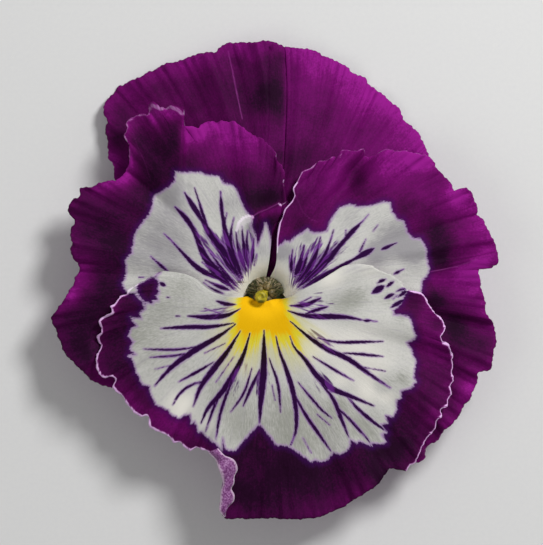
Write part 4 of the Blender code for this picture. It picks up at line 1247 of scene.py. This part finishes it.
def beard_look():
    """Hairs from dark green to straw, tuft by tuft."""
    look = Look("beard", roughness=0.7, specular=0.2, sheen=0.3)
    tuft = look.attribute("tuft")
    fine = look.speckled(2500.0, 2.0)
    colour = look.ramp(tuft + (fine - 0.5) * 0.5, zip((0.05, 0.35, 0.6, 0.9), BEARD_COLOURS))
    look.feed("Base Color", colour)
    return look.material


def throat_look(name, colours, scale):
    """A blotched skin of three colours, with dark green painted shade where the piece is marked as hollow.
    """
    look = Look(name, roughness=0.5, specular=0.4, subsurface=0.05)
    blotch = look.speckled(scale, 4.0)
    colour = look.ramp(blotch, zip((0.34, 0.5, 0.66), colours))
    colour = look.mix(colour, HOLLOW_SHADE, look.attribute("hollow") * 0.85)
    return look.finished(colour, blotch, 0.5, 0.1 * MM)


# What the settings that are colours have in common.
AS_COLOUR = {"size": 3, "subtype": "COLOR", "min": 0.0, "max": 1.0}


class PansySettings(bpy.types.PropertyGroup):
    """The sizes and colours that a user would change."""

    petal_thickness: bpy.props.FloatProperty(
        name="Petal thickness", description="Thickness of the petal blades", default=0.28 * MM,
        min=0.1 * MM, unit="LENGTH")
    velvet: bpy.props.FloatProperty(
        name="Velvet", description="How much soft sheen the petals have", default=0.05,
        min=0.0, max=1.0, subtype="FACTOR")
    purple: bpy.props.FloatVectorProperty(
        name="Purple", description="Main colour of the petals", default=(0.079, 0.0016, 0.062),
        **AS_COLOUR)
    deep_purple: bpy.props.FloatVectorProperty(
        name="Deep purple", description="Colour of the petals in the dark places",
        default=(0.021, 0.0015, 0.019), **AS_COLOUR)
    light_purple: bpy.props.FloatVectorProperty(
        name="Light purple", description="Colour of the petals in the light places",
        default=(0.165, 0.003, 0.132), **AS_COLOUR)
    white: bpy.props.FloatVectorProperty(
        name="White", description="Colour of the pale centre", default=(0.62, 0.61, 0.58), **AS_COLOUR)
    yellow: bpy.props.FloatVectorProperty(
        name="Yellow", description="Colour of the patch by the throat", default=(0.82, 0.455, 0.001),
        **AS_COLOUR)
    rim: bpy.props.FloatVectorProperty(
        name="Rim", description="Colour of the fine pale edge", default=(0.87, 0.55, 0.92), **AS_COLOUR)
    back_dark: bpy.props.FloatVectorProperty(
        name="Back, dark", description="Darker colour of the petal backs", default=(0.22, 0.06, 0.24),
        **AS_COLOUR)
    back_light: bpy.props.FloatVectorProperty(
        name="Back, light", description="Lighter colour of the petal backs", default=(0.45, 0.22, 0.47),
        **AS_COLOUR)


SURFACES = {}  # the middle surfaces of the petals made so far, front ones first


def hand_over(piece, node):
    """Puts the piece in the row frame, in place of its node."""
    shift_to_frame(piece)
    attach(piece, "root")
    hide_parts(node)


def build_petal(
        name, surface, tones, pale, streaks, outlines=(), veins=(), widest=0.5, haze=(), yellow=(),
        shades=(), whites=()):
    """A petal with what its finish reads: how light each place is, with painted light and shade, its pale
    lines and, on the marked petals, the distances to the white, the veins, the haze between them and the
    yellow."""
    settings = bpy.context.scene.pansy
    SURFACES[name] = surface
    piece, (i, j) = grid_piece(name + "_blade", surface)
    x, y = in_pixels(surface[..., 0], surface[..., 1])
    lightness, places = tones
    tone_and_shading = blots(x, y, places, lightness)
    # the fold's painted shade on the flap and painted light below the right fold
    if name in FOLD_SHADE_AND_LIGHT:
        outline, amount = FOLD_SHADE_AND_LIGHT[name]
        tone_and_shading += amount * ease(0.5 + inside_distance(x, y, outline) / 2.5)
    mark(piece, "tone_and_shading", tone_and_shading[i, j])
    mark(piece, "pale", pale_lines(x, y, pale)[i, j])
    if outlines:
        mark(piece, "white", within(x, y, outlines)[i, j])
        mark(piece, "vein", stroke_distance(x, y, veins, widest)[i, j])
        mark(piece, "shade", blots(x, y, shades)[i, j])
        away = np.hypot(x - PICTURE_THROAT[0], y - PICTURE_THROAT[1])
        mark(piece, "near", (1 - ease((away - NEAR_END) / NEAR_FADE))[i, j])
        spoke = x - FANS[name][0] + 1j * (y - FANS[name][1])
        mark(piece, "turn", np.angle(spoke * np.conj(spoke.mean()))[i, j])
        mark(piece, "away", np.abs(spoke)[i, j])
        mark(piece, "haze", within(x, y, haze)[i, j])
        patch_of_yellow = np.full(x.shape, -FAR_IN_PIXELS)
        if yellow:
            thins = 1 - YELLOW_THINS_BY * ease((y - YELLOW_THINS_AT) / YELLOW_THINS_OVER)
            patch_of_yellow = thins * inside_distance(x, y, yellow)
        mark(piece, "yellow", patch_of_yellow[i, j])
    face = petal_face(name + " face", settings, streaks, whites)
    apply_finishes(piece, face, petal_back(name + " back", settings))
    thicken(piece, settings.petal_thickness, thinner_edge(piece, (i, j), surface.shape[:2]))
    return piece


def clearance_under(names, gap=PETAL_GAP, slope=STEEP):
    """How high a petal may be at each place to stay the gap below the named ones."""
    settings = bpy.context.scene.pansy
    above = underside_map([SURFACES[n] for n in names], settings.petal_thickness)
    return kept_clear(above, gap + settings.petal_thickness / 2, slope)


class PANSY_OT_lower_petal(bpy.types.Operator):
    """Makes the lower petal, the front one, with its rolled edge and the spur behind it"""

    bl_idname = "pansy.lower_petal"
    bl_label = "Lower petal"

    def execute(self, context):
        grid = petal_grid(LOWER_RIM, LOWER_LEFT, LOWER_RIGHT, LOWER_POINTS, False, LOWER_LIP)
        surface = np.dstack([grid, lower_height(grid)])
        piece = build_petal(
            "lower_petal", surface, LOWER_TONE_AND_SHADING, LOWER_PALE, LOWER_STREAKS, [LOWER_WHITE, LOWER_GAP],
            LOWER_VEINS, LOWER_WIDEST, LOWER_HAZE, YELLOW, LOWER_SHADES, LOWER_WHITES)
        join_to(piece, [rolled_edge(surface, rolled_look()), self.spur()])
        hand_over(piece, "lower_petal")
        return {"FINISHED"}

    def spur(self):
        """The nectar spur, from its path and its radius at each place, in millimetres."""
        shape = smooth_line([
            (0, -4.2, 9.4, 1.0), (0, -5.0, 8.5, 1.2), (0, -5.6, 7.4, 1.35), (0, -5.8, 6.1, 1.4),
            (0, -5.9, 4.9, 1.35), (0, -6.0, 3.9, 1.0), (0, -6.1, 3.1, 0.3)], 22) * MM
        finish = throat_look("spur skin", SPUR_COLOURS, 900.0)
        return wrapped("spur", tube_rings(shape[:, :3], shape[:, 3], 28), finish)


class PANSY_OT_side_petals(bpy.types.Operator):
    """Makes the two side petals, under the lower one, with the beard round the throat"""

    bl_idname = "pansy.side_petals"
    bl_label = "Side petals"

    def execute(self, context):
        clear = clearance_under(["lower_petal"])
        beard = beard_look()
        piece = self.petal(
            "lateral_petal_left", (SIDE_LEFT_RIM, SIDE_LEFT_INNER, SIDE_LEFT_OUTER), False,
            side_left_height, clear, SIDE_LEFT_TONE_AND_SHADING, SIDE_LEFT_PALE, SIDE_LEFT_WHITE, SIDE_LEFT_VEINS,
            SIDE_LEFT_HAZE, SIDE_LEFT_SHADES)
        join_to(piece, hairs("left_hair", beard, first_angle=88, last_angle=180, seed=21))
        hand_over(piece, "lateral_petal_left")
        piece = self.petal(
            "lateral_petal_right", (SIDE_RIGHT_RIM, SIDE_RIGHT_INNER, SIDE_RIGHT_OUTER), True,
            side_right_height, clear, SIDE_RIGHT_TONE_AND_SHADING, SIDE_RIGHT_PALE, SIDE_RIGHT_WHITE,
            SIDE_RIGHT_VEINS, SIDE_RIGHT_HAZE, SIDE_RIGHT_SHADES)
        join_to(piece, hairs("right_hair", beard, first_angle=0, last_angle=88, seed=22))
        hand_over(piece, "lateral_petal_right")
        return {"FINISHED"}

    def petal(self, name, edges, clockwise, height, clear, tones, pale, white, veins, haze, shades):
        """One side petal, raised, folded over where it overhangs, and laid under the lower petal."""
        grid = petal_grid(*edges, SIDE_POINTS, clockwise)
        raised = height(grid)
        for line, side, crest, foot, width in OVERHANGS[name]:
            grid = tucked(grid, *line, side, crest, foot, width)
        surface = pressed_under(np.dstack([grid, raised]), clear)
        return build_petal(
            name, surface, tones, pale, SIDE_STREAKS, [white], veins, SIDE_WIDEST, haze, (), shades,
            SIDE_WHITES)


def upper_on_table(grid, clear, count, phase, seed):
    """The upper petal's surface with the droop that brings its lowest point to the table."""
    half = bpy.context.scene.pansy.petal_thickness / 2
    low, high = 2 * MM, 20 * MM
    for _ in range(20):
        depth = (low + high) / 2
        surface = pressed_under(np.dstack([grid, upper_height(grid, depth, count, phase, seed)]), clear)
        low, high = (low, depth) if surface[..., 2].min() < half else (depth, high)
    return surface


def laid_down(surface):
    """The surface with its first columns lowered on to the petal that lies under their edge."""
    laid = surface.copy()
    edge = laid[:LAID_COLUMNS]
    fall = np.interp(in_pixels(edge[..., 0], edge[..., 1])[1], LAID_AT, LAID_BY) * MM
    edge[..., 2] -= fall * (1 - ease(np.arange(LAID_COLUMNS) / LAID_COLUMNS))[:, None]
    return laid


class PANSY_OT_upper_petals(bpy.types.Operator):
    """Makes the two upper petals, which rest on the table by their rims"""

    bl_idname = "pansy.upper_petals"
    bl_label = "Upper petals"

    def execute(self, context):
        above = ["lower_petal", "lateral_petal_left", "lateral_petal_right"]
        clear = clearance_under(above)
        grid = petal_grid(
            UPPER_RIGHT_RIM, UPPER_RIGHT_INNER, UPPER_RIGHT_OUTER, UPPER_RIGHT_POINTS, True)
        surface = upper_on_table(grid, clear, count=3.5, phase=0.2, seed=11)
        piece = build_petal(
            "upper_petal_right", laid_down(surface), UPPER_RIGHT_TONE_AND_SHADING, UPPER_RIGHT_PALE,
            UPPER_RIGHT_STREAKS)
        SURFACES["upper_petal_right"] = surface
        hand_over(piece, "upper_petal_right")
        clear = np.minimum(clear, clearance_under(["upper_petal_right"], UPPER_GAP, GENTLE))
        grid = petal_grid(UPPER_LEFT_RIM, UPPER_LEFT_INNER, UPPER_LEFT_OUTER, UPPER_LEFT_POINTS, False)
        surface = upper_on_table(grid, clear, count=4.5, phase=0.6, seed=13)
        piece = build_petal(
            "upper_petal_left", surface, UPPER_LEFT_TONE_AND_SHADING, UPPER_LEFT_PALE, UPPER_LEFT_STREAKS)
        hand_over(piece, "upper_petal_left")
        return {"FINISHED"}


class PANSY_OT_sepals(bpy.types.Operator):
    """Makes the five sepals behind the petals, each with its ear"""

    bl_idname = "pansy.sepals"
    bl_label = "Sepals"

    def execute(self, context):
        above = underside_map(SURFACES.values(), context.scene.pansy.petal_thickness)
        clear = kept_clear(above, SEPAL_GAP, STEEP)
        finish = self.finish()
        across, along = 25, 70
        middle = across // 2
        for number, angle in enumerate(SEPAL_ANGLES, 1):
            surface = pressed_under(sepal_surface(angle, across, along), clear)
            piece, (i, _) = grid_piece(f"sepal_{number}_blade", surface)
            mark(piece, "margin", np.abs(i - middle) / middle)
            apply_finishes(piece, finish, finish)
            thicken(piece, SEPAL_THICKNESS)
            hand_over(piece, f"sepal_{number}")
        return {"FINISHED"}

    def finish(self):
        look = Look("sepal skin", roughness=0.5, specular=0.4, subsurface=0.05)
        stripe = look.streaked(26.0, 2.0, roughness=0.55)
        blotch = look.speckled(700.0, roughness=0.55)
        colour = look.ramp(stripe * 0.6 + blotch * 0.4, zip((0.3, 0.5, 0.72), SEPAL_COLOURS))
        margin = look.attribute("margin").between(0.8, 1.0)
        return look.finished(look.mix(colour, SEPAL_MARGIN, margin * 0.7), stripe, 0.5, 0.15 * MM)


class PANSY_OT_stalk(bpy.types.Operator):
    """Makes the stalk with its hook, its two bracts and the receptacle"""

    bl_idname = "pansy.stalk"
    bl_label = "Stalk"

    def execute(self, context):
        finish = self.finish()
        # lengths in millimetres, as in the next operator
        route = [
            (0.0, -STALK_END / MM, 0.95), (0, -28, 0.95), (0, -20, 0.95), (0, -12, 0.95), (0, -5, 0.95),
            (0, -1.5, 1.0), (0, 1.0, 1.5), (0, 2.1, 2.6), (0, 1.4, 3.7), (0, 0.35, 4.5), (0, 0.0, 4.9),
            (0, 0.0, 5.3)]
        along, around = 110, 32
        turn = np.linspace(0.0, 2 * math.pi, around, endpoint=False)
        ribs = 0.97 + 0.03 * np.cos(5 * turn)[None, :]
        radii = np.interp(np.linspace(0, 1, along), [0, 0.75, 0.93, 1], [1.1, 1.0, 1.05, 1.5])
        rings = tube_rings(smooth_line(route, along), radii[:, None] * ribs, around)
        rings[..., 2] = np.maximum(rings[..., 2], 0.0)
        piece = wrapped("stalk", rings * MM, finish)
        cup = smooth_line([
            (0.9, 4.7), (2.4, 4.75), (3.3, 5.1), (3.6, 5.6), (3.4, 6.0), (2.6, 6.2), (2.2, 6.6),
            (2.1, 7.2), (0.05, 7.2)], 30)
        extras = [wrapped("receptacle", turned_rings(cup, 48) * MM, finish)]
        share = np.linspace(0.0, 1.0, 12)
        width = np.interp(share, [0, 0.4, 0.8, 1.0], [0.55, 0.6, 0.3, 0.06])
        for side, at in ((1, -17.0), (-1, -20.0)):
            start = np.array([side * 0.5, at, 1.3])
            tip = np.array([side * 2.3, at - 2.4, 1.9])
            line = start + share[:, None] * (tip - start)
            extras.append(wrapped("bract", tube_rings(line, width, 14, 0.5) * MM, finish))
        join_to(piece, extras)
        hand_over(piece, "stem")
        return {"FINISHED"}

    def finish(self):
        look = Look("stalk skin", roughness=0.45, specular=0.45, subsurface=0.05)
        stripe = look.streaked(14.0, 1.5, roughness=0.55)
        blotch = look.speckled(500.0, roughness=0.55)
        colour = look.ramp(stripe * 0.5 + blotch * 0.5, zip((0.3, 0.5, 0.7), STALK_COLOURS))
        return look.finished(colour, stripe, 0.6, 0.12 * MM)


class PANSY_OT_throat_parts(bpy.types.Operator):
    """Makes the pistil with its hollow knob, and the ring of five anthers"""

    bl_idname = "pansy.throat_parts"
    bl_label = "Pistil and anthers"

    def execute(self, context):
        profile = smooth_line([
            (0.7, 7.7), (1.15, 8.1), (1.2, 8.8), (1.0, 9.5), (0.55, 10.0), (0.42, 10.5), (0.45, 10.9),
            (0.8, 11.0), (1.04, 11.4), (1.1, 11.8), (1.0, 12.2), (0.72, 12.46), (0.5, 12.5),
            (0.34, 12.38), (0.2, 12.28), (0.02, 12.25)], 60)
        lean = ease((profile[:, 1] - 9.3) / 2.2)
        rings = turned_rings(profile, 36)
        rings[..., :2] -= 0.65 * lean[:, None, None]
        body = wrapped("pistil_body", rings * MM, throat_look("pistil skin", PISTIL_COLOURS, 1500.0))
        # painted shade of the knob's hollow, on its side towards the lower petal
        x, y, z = np.array([v.co for v in body.data.vertices]).T / MM
        away = np.hypot(0.7 * (x + 0.7), y + 1.62) + np.maximum(11.2 - z, 0.0)
        mark(body, "hollow", 1 - ease((away - 0.25) / 0.35))
        hand_over(body, "pistil")
        self.anthers()
        return {"FINISHED"}

    def anthers(self):
        """The ring of anthers round the ovary, with five lobes."""
        profile = smooth_line([
            (1.3, 7.65), (1.3, 9.0), (1.15, 9.5), (0.8, 9.95), (0.62, 10.25), (0.9, 10.35), (1.5, 10.2),
            (2.05, 9.3), (2.15, 8.2), (1.9, 7.65), (1.3, 7.65)], 50)
        around = 80
        turn = np.linspace(0.0, 2 * math.pi, around, endpoint=False)
        lobe = np.abs(np.cos(2.5 * turn)) ** 0.6
        rings = turned_rings(profile, around)
        reach = np.hypot(rings[..., 0], rings[..., 1])
        shrink = 1 - 0.16 * (1 - lobe)[None, :] * ease((reach - 1.2) / 0.5)
        rings[..., :2] *= shrink[..., None]
        rings[..., 2] -= 0.5 * (1 - lobe)[None, :] * ease((rings[..., 2] - 8.5) / 1.8)
        dust = throat_look("anther skin", ANTHER_COLOURS, 2200.0)
        hand_over(wrapped("anther_ring", rings * MM, dust), "stamens")


class PANSY_OT_stage(bpy.types.Operator):
    """Makes the floor, the lights and the camera"""

    bl_idname = "pansy.stage"
    bl_label = "Stage"

    def execute(self, context):
        bpy.ops.object.select_all(action="DESELECT")
        bpy.ops.mesh.primitive_plane_add(size=FLOOR_SIZE, location=(0, 0, 0))
        floor = context.object
        floor.name = "floor"
        look = Look("floor paper", roughness=0.85, specular=0.2)
        grain = look.speckled(1500.0, 2.0, 0.5)
        look.feed("Base Color", look.mix(*PAPER_COLOURS, grain))
        apply_finishes(floor, look.material)
        world = bpy.data.worlds.new("studio")
        context.scene.world = world
        world.use_nodes = True
        sky = world.node_tree.nodes["Background"]
        sky.inputs["Color"].default_value = (1.0, 1.0, 1.0, 1.0)
        sky.inputs["Strength"].default_value = DAYLIGHT
        self.light("key light", (0.26, 0.30, 0.42), size=0.18, power=2.5)
        self.light("fill light", (-0.35, -0.15, 0.45), size=0.40, power=0.35)
        self.camera(context)
        context.scene.view_settings.view_transform = "Standard"
        return {"FINISHED"}

    def light(self, name, place, size, power):
        """A round, soft light that shines on the bloom."""
        bpy.ops.object.light_add(type="AREA", location=place)
        lamp = bpy.context.object
        lamp.name = name
        lamp.data.shape = "DISK"
        lamp.data.size = size
        lamp.data.energy = power
        lamp.rotation_euler = (-lamp.location).to_track_quat("-Z", "Y").to_euler()

    def camera(self, context):
        """Straight over the face, far enough for the picture's flat view."""
        x, y = face_plane([(PICTURE_SIZE[0] / 2, PICTURE_SIZE[1] / 2)])[0] + throat()
        bpy.ops.object.camera_add(location=(x, y, THROAT_HEIGHT + CAMERA_DISTANCE), rotation=(0, 0, 0))
        camera = context.object
        camera.data.sensor_width = SENSOR_WIDTH
        camera.data.lens = SENSOR_WIDTH * CAMERA_DISTANCE / (PICTURE_SIZE[1] * PIXEL)
        camera.data.clip_start = 0.05
        camera.data.clip_end = 10.0
        context.scene.camera = camera


class PANSY_PT_panel(bpy.types.Panel):
    """Lists the pieces and their settings"""

    bl_idname = "PANSY_PT_panel"
    bl_label = "Pansy bloom"
    bl_space_type = "VIEW_3D"
    bl_region_type = "UI"
    bl_category = "Pansy"

    def draw(self, context):
        column = self.layout.column()
        for name in PansySettings.__annotations__:
            column.prop(context.scene.pansy, name)
        for operator in OPERATORS:
            column.operator(operator.bl_idname)


OPERATORS = (
    PANSY_OT_lower_petal, PANSY_OT_side_petals, PANSY_OT_upper_petals, PANSY_OT_sepals, PANSY_OT_stalk,
    PANSY_OT_throat_parts, PANSY_OT_stage)
CLASSES = (PansySettings, *OPERATORS, PANSY_PT_panel)


def register():
    for cls in CLASSES:
        bpy.utils.register_class(cls)
    bpy.types.Scene.pansy = bpy.props.PointerProperty(type=PansySettings)


def unregister():
    del bpy.types.Scene.pansy
    for cls in reversed(CLASSES):
        bpy.utils.unregister_class(cls)


def main():
    register()
    bpy.ops.pansy.lower_petal()
    bpy.ops.pansy.side_petals()
    bpy.ops.pansy.upper_petals()
    bpy.ops.pansy.sepals()
    bpy.ops.pansy.stalk()
    bpy.ops.pansy.throat_parts()
    bpy.ops.pansy.stage()


if __name__ == "__main__":
    main()
